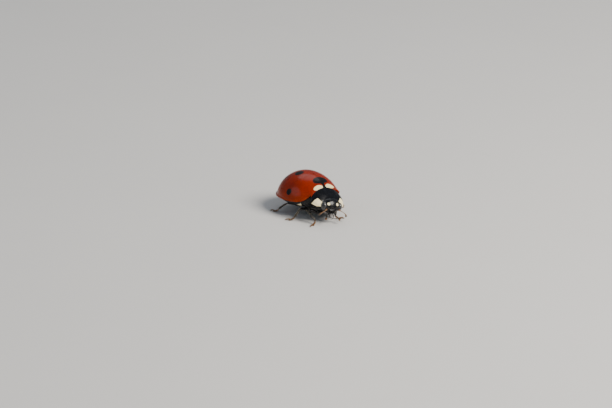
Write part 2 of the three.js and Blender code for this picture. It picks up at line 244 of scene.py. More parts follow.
def start(name, add, **sizes):
    """Adds a primitive with nothing else selected and names it."""
    hold(None)
    add(**sizes)
    piece = bpy.context.object
    piece.name = name
    piece.data.name = name
    return piece


@contextmanager
def editing(piece, kind="FACE"):
    """Edit mode on one piece, with nothing selected."""
    hold(piece)
    bpy.ops.object.mode_set(mode="EDIT")
    bpy.ops.mesh.select_mode(type=kind)
    bpy.ops.mesh.select_all(action="DESELECT")
    yield
    bpy.ops.object.mode_set(mode="OBJECT")


def pick(piece, kind, test):
    """Selects the faces, edges or verts that pass a test, and nothing else."""
    bpy.ops.mesh.select_all(action="DESELECT")
    mesh = bmesh.from_edit_mesh(piece.data)
    chosen = [part for part in getattr(mesh, kind) if test(part)]
    for part in chosen:
        part.select_set(True)
    mesh.select_flush_mode()
    bmesh.update_edit_mesh(piece.data)
    if not chosen:
        raise RuntimeError(f"nothing of {piece.name} passes the test")


def merge(piece):
    """Closes seams and poles."""
    with editing(piece, "VERT"):
        bpy.ops.mesh.select_all(action="SELECT")
        bpy.ops.mesh.remove_doubles(threshold=MERGE)


def face_out(piece):
    """Turns the faces of a closed piece outwards."""
    with editing(piece):
        bpy.ops.mesh.select_all(action="SELECT")
        bpy.ops.mesh.normals_make_consistent(inside=False)


def apply_modifier(piece, kind, **settings):
    hold(piece)
    modifier = piece.modifiers.new(kind.title(), kind)
    for name, value in settings.items():
        setattr(modifier, name, value)
    bpy.ops.object.modifier_apply(modifier=modifier.name)


def subdivide(piece, levels):
    apply_modifier(piece, "SUBSURF", levels=levels, render_levels=levels)


def thicken(piece, thickness):
    apply_modifier(piece, "SOLIDIFY", thickness=thickness, offset=-1)


def undulate(piece, strength, size):
    """Raises and lowers a surface a little, so that its reflections aren't perfect."""
    texture = bpy.data.textures.new(f"{piece.name}_waves", "CLOUDS")
    texture.noise_scale = size
    texture.noise_depth = 1
    apply_modifier(piece, "DISPLACE", texture=texture, strength=strength, mid_level=0.5)
    bpy.data.textures.remove(texture)


def mould(piece, place):
    """Moves each point of a piece to where place puts it."""
    for vertex in piece.data.vertices:
        vertex.co = place(vertex.co)


def sheet(name, columns, rows, place):
    """A grid laid over the surface place(u, v), with u and v from 0 to 1. Its UV map keeps u and v."""
    piece = start(name, bpy.ops.mesh.primitive_grid_add, x_subdivisions=columns, y_subdivisions=rows, size=2)
    mould(piece, lambda p: place((p.x + 1) / 2, (p.y + 1) / 2))
    merge(piece)
    return piece


def copy_to_other_side(piece, name):
    """A mirrored copy with its own mesh."""
    hold(piece)
    bpy.ops.object.duplicate(linked=False)
    other = bpy.context.object
    other.name = name
    other.data.name = name
    bpy.ops.transform.resize(value=(-1, 1, 1), center_override=(0, 0, 0))
    bpy.ops.object.transform_apply(location=True, rotation=True, scale=True)
    with editing(other):
        bpy.ops.mesh.select_all(action="SELECT")
        bpy.ops.mesh.flip_normals()
    return other


def join(name, pieces):
    """Joins pieces into the first of them."""
    hold(pieces[0])
    for piece in pieces:
        piece.select_set(True)
    bpy.ops.object.join()
    pieces[0].name = name
    pieces[0].data.name = name
    return pieces[0]


TIP = (
    Matrix.Translation((NECK.shift, SHIELD.hind_y, NECK.z))
    @ Euler((0, math.radians(NECK.tip), -math.radians(NECK.turn))).to_matrix().to_4x4()
    @ Matrix.Translation((0, -SHIELD.hind_y, -NECK.z))
)


LOOK_RIGHT = (
    Matrix.Translation((0, LOOK.y, 0))
    @ Euler((0, 0, -math.radians(LOOK.turn))).to_matrix().to_4x4()
    @ Matrix.Translation((0, -LOOK.y, 0))
)


LEAN_OVER = (
    Matrix.Translation((0, 0, LEAN.z))
    @ Matrix.Rotation(math.radians(LEAN.turn), 4, "Y")
    @ Matrix.Translation((0, 0, -LEAN.z))
)


def move_by(matrix, piece):
    """Moves the mesh of a piece by a matrix."""
    hold(piece)
    piece.matrix_world = matrix @ piece.matrix_world
    bpy.ops.object.transform_apply(location=True, rotation=True, scale=True)
    return piece


def tip(piece, with_head=True):
    """Tips and turns a piece of the head, or of the shield, about the neck."""
    return move_by(TIP @ LOOK_RIGHT if with_head else TIP, piece)


def lean(piece):
    """Leans a piece of the hind body or a wing case over to the left."""
    return move_by(LEAN_OVER, piece)


def set_in_frame(piece, material, nodes=(), smooth=40):
    """Brings a finished piece from millimetres to metres and puts it in the frame."""
    move_by(Matrix.Scale(MM, 4), piece)
    bpy.ops.object.shade_smooth_by_angle(angle=math.radians(smooth))
    piece.data.materials.clear()
    piece.data.materials.append(material)
    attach(piece, "root")
    if nodes:
        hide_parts(*nodes)
    return piece


# ---- Lines and round bars ----


def smoothstep(low, high, value):
    share = min(1.0, max(0.0, (value - low) / (high - low)))
    return share * share * (3 - 2 * share)


def lerp(a, b, share):
    return a + (b - a) * share


class Line:
    """A smooth line through points, read by the share of its length, from 0 to 1."""

    STEPS = 16

    def __init__(self, points, up=(0, 0, 1)):
        known = [Vector(p) for p in points]
        known = [2 * known[0] - known[1], *known, 2 * known[-1] - known[-2]]
        self.up = Vector(up)
        self.places = []
        for a, b, c, d in zip(known, known[1:], known[2:], known[3:]):
            for step in range(self.STEPS):
                t = step / self.STEPS
                bend = (2 * a - 5 * b + 4 * c - d) * t * t + (3 * b - 3 * c + d - a) * t**3
                self.places.append(b + ((c - a) * t + bend) / 2)
        self.places.append(known[-2])
        steps = [(q - p).length for p, q in zip(self.places, self.places[1:])]
        self.length = sum(steps)
        self.shares = [0, *np.cumsum(steps) / self.length]

    def at(self, share):
        k = min(len(self.places) - 2, max(0, int(np.searchsorted(self.shares, share)) - 1))
        part = (share - self.shares[k]) / (self.shares[k + 1] - self.shares[k])
        return self.places[k].lerp(self.places[k + 1], part)

    def frame(self, share):
        """The place, and the directions along, across and over the line."""
        step = 0.02
        along = (self.at(min(1, share + step)) - self.at(max(0, share - step))).normalized()
        across = self.up.cross(along).normalized()
        return self.at(share), along, across, along.cross(across)


def bar(name, points, radius, sides=24, rings=24, flat=1.0, blunt=6, up=(0, 0, 1)):
    """A round-ended bar along a line. radius(t) gives its half width, and flat times that is its half height."""
    line = Line(points, up)

    def place(u, v):
        t = (1 - math.cos(v * math.pi)) / 2
        centre, _, across, over = line.frame(t)
        wide = radius(t) * math.sqrt(max(0, 1 - abs(2 * t - 1) ** blunt))
        turn = -2 * math.pi * u
        return centre + across * (wide * math.cos(turn)) + over * (flat * wide * math.sin(turn))

    piece = sheet(name, sides, rings, place)
    face_out(piece)
    return piece


def beaded(beads, t, waist=0.62):
    """The half width at t of a row of beads, each given as its length and its half width."""
    whole = sum(length for length, _ in beads)
    start_at = 0
    for length, wide in beads:
        share = length / whole
        if t <= start_at + share or (length, wide) is beads[-1]:
            inside = min(1, max(0, (t - start_at) / share))
            return wide * lerp(waist, 1, math.sin(math.pi * inside**0.8) ** 0.6)
        start_at += share
    return beads[-1][1]


# ---- The shapes that the pieces follow ----


def arch(share, power):
    """A quarter of a rounded arch: 1 at share 0 and 0 at share 1."""
    return (1 - min(1, share) ** power) ** (1 / power)


def dome_section(y, inset=0.0):
    """Half the dome's width, its rim's height and its top's height at y, for a dome shrunk by inset."""
    ahead = max(0, DOME.centre_y - y)
    rear_share = max(0, y - DOME.centre_y) / (DOME.rear - inset)
    outline = arch(ahead / DOME.front if ahead else rear_share, DOME.plan_power)
    profile = arch(ahead / DOME.top_front, DOME.top_power) if ahead else arch(rear_share, DOME.rear_top_power)
    top = DOME.rim_z + (DOME.height - inset) * profile
    sweep = DOME.front_sweep * (ahead / DOME.front_sweep_reach) ** DOME.front_sweep_power
    back = min(1, max(0, y - DOME.dip_from_y) / (DOME.centre_y + DOME.rear - inset - DOME.dip_from_y))
    dip = DOME.dip * back * (1 - back**2)
    rim = min(DOME.rim_z + sweep - dip, top - DOME.least_arch * profile)
    return (DOME.half_width - inset) * outline, rim, top


def dome_point(turn, y, inset=0.0):
    """A point of the dome. turn is 0 on the midline and a quarter turn at the left rim."""
    half_width, rim, top = dome_section(y, inset)
    return Vector((half_width * math.sin(turn), y, rim + (top - rim) * math.cos(turn)))


def on_dome(x, y, lift=0.0):
    """The point of the dome over x and y."""
    half_width, rim, top = dome_section(y)
    return Vector((x, y, rim + (top - rim) * math.sqrt(max(0, 1 - (x / half_width) ** 2)) + lift))


def station_y(share, front_y, inset=0.0):
    """Where the stations of the dome lie, close together towards the rear, where it rounds off."""
    rear = DOME.rear - inset
    first = math.asin(max(-1, (front_y - DOME.centre_y) / DOME.front))
    angle = lerp(first, math.pi / 2, share)
    return DOME.centre_y + (DOME.front if angle < 0 else rear) * math.sin(angle)


def shield_edge_y(x):
    """Where the shield's hind edge lies at a distance x from the middle, with room for it to tip and turn."""
    turn = math.asin(min(1, abs(x) / SHIELD.half_width))
    share = turn / math.radians(SHIELD.wrap)
    tip_room = 2 * SHIELD.hind_corner_back * share * NECK.tip / SHIELD.wrap
    turn_room = abs(x) * math.sin(math.radians(NECK.turn))
    return SHIELD.hind_y - SHIELD.hind_corner_back * share**2 + tip_room + turn_room


@lru_cache(maxsize=None)
def front_edge_y(turn):
    """Where a line of the dome at the angle turn comes out from behind the shield."""
    low, high = DOME.centre_y - DOME.front, DOME.centre_y
    for _ in range(30):
        y = (low + high) / 2
        if y > shield_edge_y(dome_point(turn, y).x) + GAP:
            high = y
        else:
            low = y
    return high


def shield_point(side, v, inset=0.0):
    """A point of the shield. side is -1 at the right margin and 1 at the left, v is 0 in front and 1 behind."""
    reach = abs(side)
    rounding = SHIELD.corner_round * max(0, reach - SHIELD.corner_at) ** 2
    quarter = min(1, reach / SHIELD.corner_at) * math.pi / 2
    front_y = SHIELD.front_y - SHIELD.corner_forward * math.sin(quarter) ** 2 + rounding
    y = lerp(front_y, SHIELD.hind_y - SHIELD.hind_corner_back * side**2, v)
    ahead = max(0, SHIELD.widest_y - y) / (SHIELD.widest_y - SHIELD.front_y)
    half_width = lerp(SHIELD.half_width, SHIELD.front_half_width, ahead**1.5)
    margin_z = lerp(SHIELD.hind_margin_z, SHIELD.front_margin_z, ahead)
    down = SHIELD.hind_y - y
    top_z = SHIELD.top_z - SHIELD.slope * down - SHIELD.slope_growth * down**2
    turn = side * math.radians(SHIELD.wrap)
    x = (half_width - inset) * math.sin(turn)
    return Vector((x, y, margin_z + (top_z - inset - margin_z) * math.cos(turn)))


STERNITES = (0.35, 0.98, 1.5, 1.98, 2.42, 2.8, 3.6)  # where each belly plate of the hind body begins


def plate_step(y, height=0.045):
    """How far a belly plate stands out at y: each one rises to its hind edge and overlaps the next."""
    for begin, end in zip(STERNITES, STERNITES[1:]):
        if begin <= y < end:
            return height * ((y - begin) / (end - begin)) ** 1.5
    return 0.0


def trunk_point(turn, y, swell=0.0):
    """A point of the body under the wing cases. turn goes round from the top, over the left side."""
    half_width, rim, top = dome_section(y, BELLY.inset)
    c, s = math.cos(turn), math.sin(turn)
    if c > 0:
        return Vector((half_width * s, y, rim + (top - rim) * c))
    power = 2 / BELLY.side_power
    rear_share = max(0, y - DOME.centre_y) / (DOME.rear - BELLY.inset)
    depth = (rim - BELLY.bottom_z) * arch(rear_share, BELLY.end_power)
    stand = 1 + swell / max(0.1, half_width)
    x = half_width * stand * math.copysign(abs(s) ** power, s)
    return Vector((x, y, rim - (depth + swell + plate_step(y) * abs(c)) * abs(c) ** power))


# ---- Finishes: effects that several materials share ----


class Web:
    """Adds nodes to a shader tree. A value that is a socket is linked, and any other is set."""

    def __init__(self, tree):
        self.tree = tree

    def add(self, kind, inputs=None, **settings):
        made = self.tree.nodes.new(kind)
        for name, value in settings.items():
            setattr(made, name, value)
        for name, value in (inputs or {}).items():
            if isinstance(value, bpy.types.NodeSocket):
                self.tree.links.new(value, made.inputs[name])
            else:
                made.inputs[name].default_value = value
        return made

    def math(self, operation, *values):
        inputs = dict(enumerate(values))
        return self.add("ShaderNodeMath", inputs, operation=operation).outputs[0]

    def vector(self, operation, *values):
        inputs = dict(enumerate(values))
        return self.add("ShaderNodeVectorMath", inputs, operation=operation).outputs[0]

    def step(self, value, low, high):
        """From 0 at low to 1 at high, smoothly."""
        inputs = {"Value": value, "From Min": low, "From Max": high}
        return self.add("ShaderNodeMapRange", inputs, interpolation_type="SMOOTHSTEP").outputs["Result"]

    def mix(self, share, first, second):
        inputs = {"Factor": share, "A": first, "B": second}
        made = self.add("ShaderNodeMix", None, data_type="RGBA")
        sockets = {"Factor": made.inputs[0], "A": made.inputs[6], "B": made.inputs[7]}
        for name, value in inputs.items():
            if isinstance(value, bpy.types.NodeSocket):
                self.tree.links.new(value, sockets[name])
            else:
                sockets[name].default_value = value
        return made.outputs[2]

    def noise(self, place, scale, detail=2.0, roughness=0.5):
        inputs = {"Vector": place, "Scale": scale, "Detail": detail, "Roughness": roughness}
        return self.add("ShaderNodeTexNoise", inputs).outputs["Fac"]

    def group(self, tree, **inputs):
        made = self.add("ShaderNodeGroup", None, node_tree=tree)
        for name, value in inputs.items():
            socket = made.inputs[name.replace("_", " ").title()]
            if isinstance(value, bpy.types.NodeSocket):
                self.tree.links.new(value, socket)
            else:
                socket.default_value = value
        return made.outputs[0]


SOCKETS = {"vector": "NodeSocketVector", "value": "NodeSocketFloat", "colour": "NodeSocketColor"}


def effect(name, inputs, output):
    """A new shader group with named inputs and one output. Returns its web, its inputs and its end."""
    tree = bpy.data.node_groups.new(name, "ShaderNodeTree")
    for label, kind in inputs.items():
        tree.interface.new_socket(label, in_out="INPUT", socket_type=SOCKETS[kind])
    tree.interface.new_socket(output[0], in_out="OUTPUT", socket_type=SOCKETS[output[1]])
    web = Web(tree)
    return web, web.add("NodeGroupInput").outputs, web.add("NodeGroupOutput").inputs


@lru_cache(maxsize=None)
def spot_effect():
    """A round mark with a soft, slightly uneven edge."""
    inputs = {"Place": "vector", "Centre": "vector", "Radius": "value", "Softness": "value", "Wobble": "value"}
    web, given, end = effect("Spot", inputs, ("Mask", "value"))
    away = web.vector("SUBTRACT", given["Place"], given["Centre"])
    length = web.add("ShaderNodeVectorMath", {0: away}, operation="LENGTH").outputs["Value"]
    uneven = web.math("SUBTRACT", web.noise(given["Place"], 2.2, detail=3), 0.5)
    uneven = web.math("MULTIPLY", uneven, given["Wobble"])
    distance = web.math("ADD", length, uneven)
    low = web.math("SUBTRACT", given["Radius"], given["Softness"])
    high = web.math("ADD", given["Radius"], given["Softness"])
    outside = web.step(distance, low, high)
    web.tree.links.new(web.math("SUBTRACT", 1.0, outside), end[0])
    return web.tree


@lru_cache(maxsize=None)
def pits_effect():
    """Fine round pits all over a plate, as a height."""
    inputs = {"Place": "vector", "Density": "value", "Share": "value"}
    web, given, end = effect("Pits", inputs, ("Height", "value"))
    cells = web.add("ShaderNodeTexVoronoi", {"Vector": given["Place"], "Scale": given["Density"]})
    web.tree.links.new(web.step(cells.outputs["Distance"], 0.0, given["Share"]), end[0])
    return web.tree


@lru_cache(maxsize=None)
def mottle_effect():
    """Slow changes of a colour over the horn, lighter and darker."""
    inputs = {"Place": "vector", "Colour": "colour", "Size": "value", "Amount": "value"}
    web, given, end = effect("Mottle", inputs, ("Colour", "colour"))
    cloud = web.noise(given["Place"], web.math("DIVIDE", 1.0, given["Size"]), detail=4, roughness=0.6)
    change = web.math("MULTIPLY", web.math("SUBTRACT", cloud, 0.5), given["Amount"])
    bright = web.math("ADD", web.math("MULTIPLY", change, 2.0), 1.0)
    scaled = web.add("ShaderNodeVectorMath", {0: given["Colour"], "Scale": bright}, operation="SCALE")
    web.tree.links.new(scaled.outputs[0], end[0])
    return web.tree


@lru_cache(maxsize=None)
def dust_effect():
    """Rougher patches where the polish has dulled, as a roughness."""
    inputs = {"Place": "vector", "Polished": "value", "Dull": "value", "Size": "value"}
    web, given, end = effect("Dulled Polish", inputs, ("Roughness", "value"))
    cloud = web.noise(given["Place"], web.math("DIVIDE", 1.0, given["Size"]), detail=5, roughness=0.65)
    share = web.step(cloud, 0.4, 0.75)
    span = web.math("SUBTRACT", given["Dull"], given["Polished"])
    web.tree.links.new(web.math("ADD", given["Polished"], web.math("MULTIPLY", span, share)), end[0])
    return web.tree


# ---- Finishes: the materials ----


def shader(name, **settings):
    """A new material with its web and its Principled BSDF, with the settings on the shader's own sockets."""
    material = bpy.data.materials.new(name)
    material.use_nodes = True
    bsdf = material.node_tree.nodes["Principled BSDF"]
    for socket, value in settings.items():
        bsdf.inputs[socket.replace("_", " ").title().replace("Ior", "IOR")].default_value = value
    return material, Web(material.node_tree), bsdf


def join_up(web, bsdf, **values):
    """Links values to the sockets of the shader."""
    for name, value in values.items():
        web.tree.links.new(value, bsdf.inputs[name.replace("_", " ").title()])


def bump(web, height, distance, strength=1.0):
    """A normal from a height, with the distance in millimetres."""
    inputs = {"Height": height, "Distance": distance * MM, "Strength": strength}
    return web.add("ShaderNodeBump", inputs).outputs["Normal"]


def body_place(web):
    """The place on the body in millimetres."""
    own = web.add("ShaderNodeTexCoord").outputs["Object"]
    return web.add("ShaderNodeVectorMath", {0: own, "Scale": 1 / MM}, operation="SCALE").outputs[0]


def leaning_place(web):
    """The place in millimetres, as it is before the hind body leans over."""
    pivot = (0, 0, LEAN.z)
    inputs = {"Vector": body_place(web), "Location": pivot, "Rotation": (0, math.radians(LEAN.turn), 0)}
    upright = web.add("ShaderNodeMapping", inputs, vector_type="TEXTURE").outputs[0]
    return web.vector("ADD", upright, pivot)


def neck_place(web):
    """The place in millimetres, as it is before the neck tips and turns the piece, counted from the neck."""
    inputs = {
        "Vector": body_place(web),
        "Location": (NECK.shift, SHIELD.hind_y, NECK.z),
        "Rotation": (0, math.radians(NECK.tip), -math.radians(NECK.turn)),
    }
    return web.add("ShaderNodeMapping", inputs, vector_type="TEXTURE").outputs[0]


def head_place(web):
    """The place as neck_place gives it, before the head looks to the right."""
    inputs = {
        "Vector": neck_place(web),
        "Location": (0, LOOK.y - SHIELD.hind_y, 0),
        "Rotation": (0, 0, -math.radians(LOOK.turn)),
    }
    turned = web.add("ShaderNodeMapping", inputs, vector_type="TEXTURE").outputs[0]
    return web.vector("ADD", turned, (0, LOOK.y - SHIELD.hind_y, 0))


def from_neck(x, y, z):
    """A place of the head or shield, counted from the neck."""
    return (x, y - SHIELD.hind_y, z - NECK.z)


def both_sides(web, place):
    """The place with its x made positive, so that a mark repeats on the other side."""
    parts = web.add("ShaderNodeSeparateXYZ", {0: place}).outputs
    return web.add("ShaderNodeCombineXYZ", {0: web.math("ABSOLUTE", parts[0]), 1: parts[1], 2: parts[2]}).outputs[0]


def own_map(web):
    """The piece's own u and v."""
    parts = web.add("ShaderNodeSeparateXYZ", {0: web.add("ShaderNodeTexCoord").outputs["UV"]}).outputs
    return parts[0], parts[1]


def stretched(place, centre, scale, web):
    """The place drawn in or out about a centre."""
    return web.vector("ADD", web.vector("MULTIPLY", web.vector("SUBTRACT", place, centre), scale), centre)


def case_finish(sizes, colours):
    """Glossy red horn with black spots and pale patches at the base. The rim and lower sides are more orange: partly
    their own paler colour, partly a painted glow of light shining through the thin horn.
    """
    material, web, bsdf = shader(
        "Elytron Horn", coat_weight=0.25, coat_roughness=0.12, coat_ior=1.45, specular_ior_level=0.12,
        subsurface_weight=0.12, subsurface_radius=(1.0, 0.25, 0.08), subsurface_scale=0.25 * MM,
    )
    place = leaning_place(web)
    even = both_sides(web, place)
    across, _ = own_map(web)
    height = web.add("ShaderNodeSeparateXYZ", {0: place}).outputs[2]
    # Lower on the dome and at the rim the red turns orange. This is partly the wing cases' own paler margin and
    # partly a painted glow of light through the thin horn.
    low_paler_and_glow = web.step(height, DOME.rim_z + 1.5, DOME.rim_z)
    low_paler_and_glow = web.math("MULTIPLY", low_paler_and_glow, 0.55)
    rim = web.step(across, 0.9, 1.0)
    orange_and_glow = web.math("MAXIMUM", low_paler_and_glow, rim)
    red = web.mix(orange_and_glow, tuple(colours.case_red), tuple(colours.case_orange))
    red = web.group(mottle_effect(), place=place, colour=red, size=0.9, amount=0.35)
    red = web.group(mottle_effect(), place=place, colour=red, size=0.12, amount=0.22)

    patch_centre = tuple(on_dome(0.68, -1.42))
    patch_place = stretched(even, patch_centre, (0.66, 1.5, 0.8), web)
    patch = web.group(spot_effect(), place=patch_place, centre=patch_centre, radius=0.35, softness=0.03, wobble=0.16)
    colour = web.mix(patch, red, tuple(colours.cream))

    spots = [
        (on_dome(0.9, 1.3), sizes.disc_spot, 0.1),
        (on_dome(2.48, 0.64), sizes.side_spot, 0.08),
        (on_dome(1.42, 2.62), sizes.rear_spot, 0.1),
        (on_dome(0.0, -1.14), 0.19, 0.04),
    ]
    shared_centre = tuple(on_dome(0, -0.76))
    shared_place = stretched(even, shared_centre, (0.5, 1.0, 0.8), web)
    mask = web.group(
        spot_effect(), place=shared_place, centre=shared_centre, radius=0.42, softness=0.022, wobble=0.14,
    )
    for centre, radius, wobble in spots:
        settings = {"centre": tuple(centre), "radius": radius, "softness": 0.022, "wobble": wobble}
        one = web.group(spot_effect(), place=even, **settings)
        mask = web.math("MAXIMUM", mask, one)
    brown = web.math("MULTIPLY", web.step(mask, 0.0, 0.35), 0.6)
    colour = web.mix(brown, colour, (0.1, 0.008, 0.003, 1))
    colour = web.mix(web.step(mask, 0.15, 0.85), colour, tuple(colours.spot))
    seam = web.step(web.add("ShaderNodeSeparateXYZ", {0: even}).outputs[0], 0.03, 0.008)
    colour = web.mix(web.math("MULTIPLY", seam, 0.7), colour, (0.03, 0.006, 0.004, 1))

    rough = web.group(dust_effect(), place=place, polished=0.27, dull=0.42, size=0.8)
    pits = web.group(pits_effect(), place=place, density=9.0, share=0.2)
    fine = web.noise(place, 40.0, detail=2)
    relief = web.math("ADD", pits, web.math("MULTIPLY", fine, 0.12))
    join_up(web, bsdf, base_color=colour, roughness=rough, normal=bump(web, relief, 0.006, 0.6))
    return material


def black_horn(name, web_place, colours, pale=None, polished=0.2, pit_density=14.0, pit_depth=0.006, coat=0.25):
    """Glossy black horn with fine pits. pale(web, place) gives the mask of its ivory marks."""
    material, web, bsdf = shader(name, coat_weight=coat, coat_roughness=0.1, specular_ior_level=0.12)
    place = web_place(web)
    # The horn colour's slight blue tint is a painted sky sheen.
    colour = web.group(mottle_effect(), place=place, colour=tuple(colours.horn), size=0.5, amount=0.5)
    if pale:
        mask = pale(web, place)
        ivory = web.group(mottle_effect(), place=place, colour=tuple(colours.ivory), size=0.2, amount=0.12)
        edge = web.math("MULTIPLY", web.step(mask, 0.0, 0.5), 0.5)
        colour = web.mix(edge, colour, (0.09, 0.05, 0.02, 1))
        colour = web.mix(web.step(mask, 0.3, 0.8), colour, ivory)
    rough = web.group(dust_effect(), place=place, polished=polished, dull=polished + 0.18, size=0.5)
    pits = web.group(pits_effect(), place=place, density=pit_density, share=0.22)
    relief = web.math("ADD", pits, web.math("MULTIPLY", web.noise(place, 50.0, detail=2), 0.2))
    join_up(web, bsdf, base_color=colour, roughness=rough, normal=bump(web, relief, pit_depth, 0.7))
    return material


def shield_finish(colours):
    """Black horn with an ivory mark at each front corner."""

    def corners(web, place):
        across, back = own_map(web)
        side = web.math("ABSOLUTE", web.math("SUBTRACT", web.math("MULTIPLY", across, 2.0), 1.0))
        uneven = web.math("MULTIPLY", web.math("SUBTRACT", web.noise(place, 3.0, detail=3), 0.5), 0.1)
        spread = web.math("MULTIPLY", back, 0.16)
        wider = web.math("MULTIPLY", web.step(across, 0.45, 0.55), 0.07)
        reach = web.math("ADD", web.math("ADD", side, uneven), wider)
        inner = web.step(web.math("SUBTRACT", reach, spread), 0.36, 0.41)
        slant = web.math("MULTIPLY", web.math("SUBTRACT", side, 0.5), 0.33)
        behind = web.math("ADD", web.math("SUBTRACT", back, slant), uneven)
        outer = web.step(side, 0.965, 0.945)
        return web.math("MULTIPLY", web.math("MULTIPLY", inner, outer), web.step(behind, 0.59, 0.52))

    return black_horn("Shield Horn", neck_place, colours, corners)


def head_finish(colours):
    """Black horn with a small ivory mark inside each eye."""

    def marks(web, place):
        centre = from_neck(0.46, -3.34, 1.82)
        return web.group(
            spot_effect(), place=both_sides(web, place), centre=centre, radius=0.15, softness=0.02, wobble=0.05,
        )

    return black_horn("Head Horn", head_place, colours, marks, polished=0.26, pit_density=16.0, pit_depth=0.008)


def eye_finish():
    """A dark compound eye with fine facets."""
    material, web, bsdf = shader("Eye", coat_weight=0.9, coat_roughness=0.05, roughness=0.25)
    place = head_place(web)
    cells = web.add("ShaderNodeTexVoronoi", {"Vector": place, "Scale": 34.0, "Randomness": 0.25})
    dome = web.step(cells.outputs["Distance"], 0.6, 0.0)
    colour = web.mix(dome, (0.006, 0.006, 0.008, 1), (0.035, 0.032, 0.034, 1))
    join_up(web, bsdf, base_color=colour, normal=bump(web, dome, 0.01, 0.8))
    return material


def limb_finish(name, colours, brown_from, brown_to):
    """Black horn that turns brown along the piece, between two shares of its length."""
    material, web, bsdf = shader(name, coat_weight=0.15, coat_roughness=0.15, specular_ior_level=0.3)
    place = body_place(web)
    _, along = own_map(web)
    horn = web.group(mottle_effect(), place=place, colour=tuple(colours.horn), size=0.2, amount=0.5)
    tipped = web.group(mottle_effect(), place=place, colour=tuple(colours.limb_tip), size=0.15, amount=0.4)
    colour = web.mix(web.step(along, brown_from, brown_to), horn, tipped)
    rough = web.group(dust_effect(), place=place, polished=0.3, dull=0.5, size=0.2)
    pits = web.group(pits_effect(), place=place, density=20.0, share=0.3)
    join_up(web, bsdf, base_color=colour, roughness=rough, normal=bump(web, pits, 0.006, 0.7))
    return material


def feeler_finish(colours):
    """Brown horn that darkens towards the club."""
    material, web, bsdf = shader("Feeler Horn", coat_weight=0.25, coat_roughness=0.2, roughness=0.4)
    place = head_place(web)
    _, along = own_map(web)
    brown = web.group(mottle_effect(), place=place, colour=tuple(colours.feeler), size=0.08, amount=0.4)
    colour = web.mix(web.math("MULTIPLY", web.step(along, 0.55, 0.8), 0.75), brown, (0.03, 0.012, 0.006, 1))
    join_up(web, bsdf, base_color=colour, normal=bump(web, web.noise(place, 40.0, detail=2), 0.006, 0.6))
    return material


def belly_finish(colours):
    """Satin black horn of the underside, finely wrinkled."""
    material, web, bsdf = shader("Belly Horn", coat_weight=0.1, coat_roughness=0.25, specular_ior_level=0.25)
    place = body_place(web)
    colour = web.group(mottle_effect(), place=place, colour=tuple(colours.horn), size=0.3, amount=0.6)
    rough = web.group(dust_effect(), place=place, polished=0.34, dull=0.55, size=0.3)
    wrinkled = web.vector("MULTIPLY", place, (1.0, 2.5, 1.0))
    relief = web.math("ADD", web.group(pits_effect(), place=place, density=16.0, share=0.3),
                      web.noise(wrinkled, 12.0, detail=3))
    join_up(web, bsdf, base_color=colour, roughness=rough, normal=bump(web, relief, 0.01, 0.8))
    return material


def ivory_finish(colours):
    """Satin ivory horn of the side plates."""
    material, web, bsdf = shader("Ivory Horn", coat_weight=0.2, coat_roughness=0.2)
    place = body_place(web)
    colour = web.group(mottle_effect(), place=place, colour=tuple(colours.ivory), size=0.2, amount=0.3)
    rough = web.group(dust_effect(), place=place, polished=0.35, dull=0.55, size=0.2)
    join_up(web, bsdf, base_color=colour, roughness=rough, normal=bump(web, web.noise(place, 30.0), 0.006, 0.6))
    return material


def claw_finish(colours):
    """Translucent brown horn, darker at the points."""
    material, web, bsdf = shader("Claw Horn", coat_weight=0.5, coat_roughness=0.1, roughness=0.3)
    place = body_place(web)
    _, along = own_map(web)
    amber = web.group(mottle_effect(), place=place, colour=tuple(colours.limb_tip), size=0.1, amount=0.3)
    join_up(web, bsdf, base_color=web.mix(web.step(along, 0.4, 1.0), amber, (0.03, 0.01, 0.004, 1)))
    return material


def hair_finish(colours):
    """Pale hairs, a little different from one to the next."""
    material, web, bsdf = shader("Hair", roughness=0.45, specular_ior_level=0.4)
    place = body_place(web)
    colour = web.group(mottle_effect(), place=place, colour=tuple(colours.hair), size=0.15, amount=0.7)
    join_up(web, bsdf, base_color=colour)
    return material


def floor_finish(colour):
    """Matt pale paper."""
    material, web, bsdf = shader("Studio Floor", roughness=0.85, specular_ior_level=0.2)
    place = web.add("ShaderNodeTexCoord").outputs["Object"]
    paper = web.group(mottle_effect(), place=place, colour=tuple(colour), size=0.02, amount=0.03)
    join_up(web, bsdf, base_color=paper)
    return material


# ---- Shell plates ----

RIM_TURN = 85  # where the dome ends and its rim begins, counted from the midline

# The rim of a wing case, step by step from the dome: a narrow gutter, a bead, and the ledge folded under
# it. Each step moves out by a share of the dome's width, and up in millimetres.
RIM_STEPS = (
    (0.01, 0.0), (0.01, 0.012), (0.008, 0.01), (0.001, -0.035), (-0.012, -0.025), (-0.075, 0.06), (-0.06, 0.04),
)
TUCK_STEPS = ((-0.05, -0.01), (-0.07, -0.05), (-0.03, -0.12))  # the base slips under the shield: along y, then up


def pick_border(piece, test):
    """Selects the border edges of a grid whose two ends have a u and v that pass a test."""
    mesh = bmesh.from_edit_mesh(piece.data)
    layer = mesh.loops.layers.uv.active

    def passes(edge):
        if not edge.is_boundary:
            return False
        loop = edge.link_loops[0]
        ends = [loop[layer].uv, loop.link_loop_next[layer].uv]
        return all(test(end.x, end.y) for end in ends)

    pick(piece, "edges", passes)


def draw_out(move, scale=(1, 1, 1), centre=(0, 0, 0)):
    """Extrudes the selected edges, moves the new ones and scales them about a centre."""
    bpy.ops.mesh.extrude_edges_indiv()
    bpy.ops.transform.resize(value=scale, center_override=centre)
    bpy.ops.transform.translate(value=move)


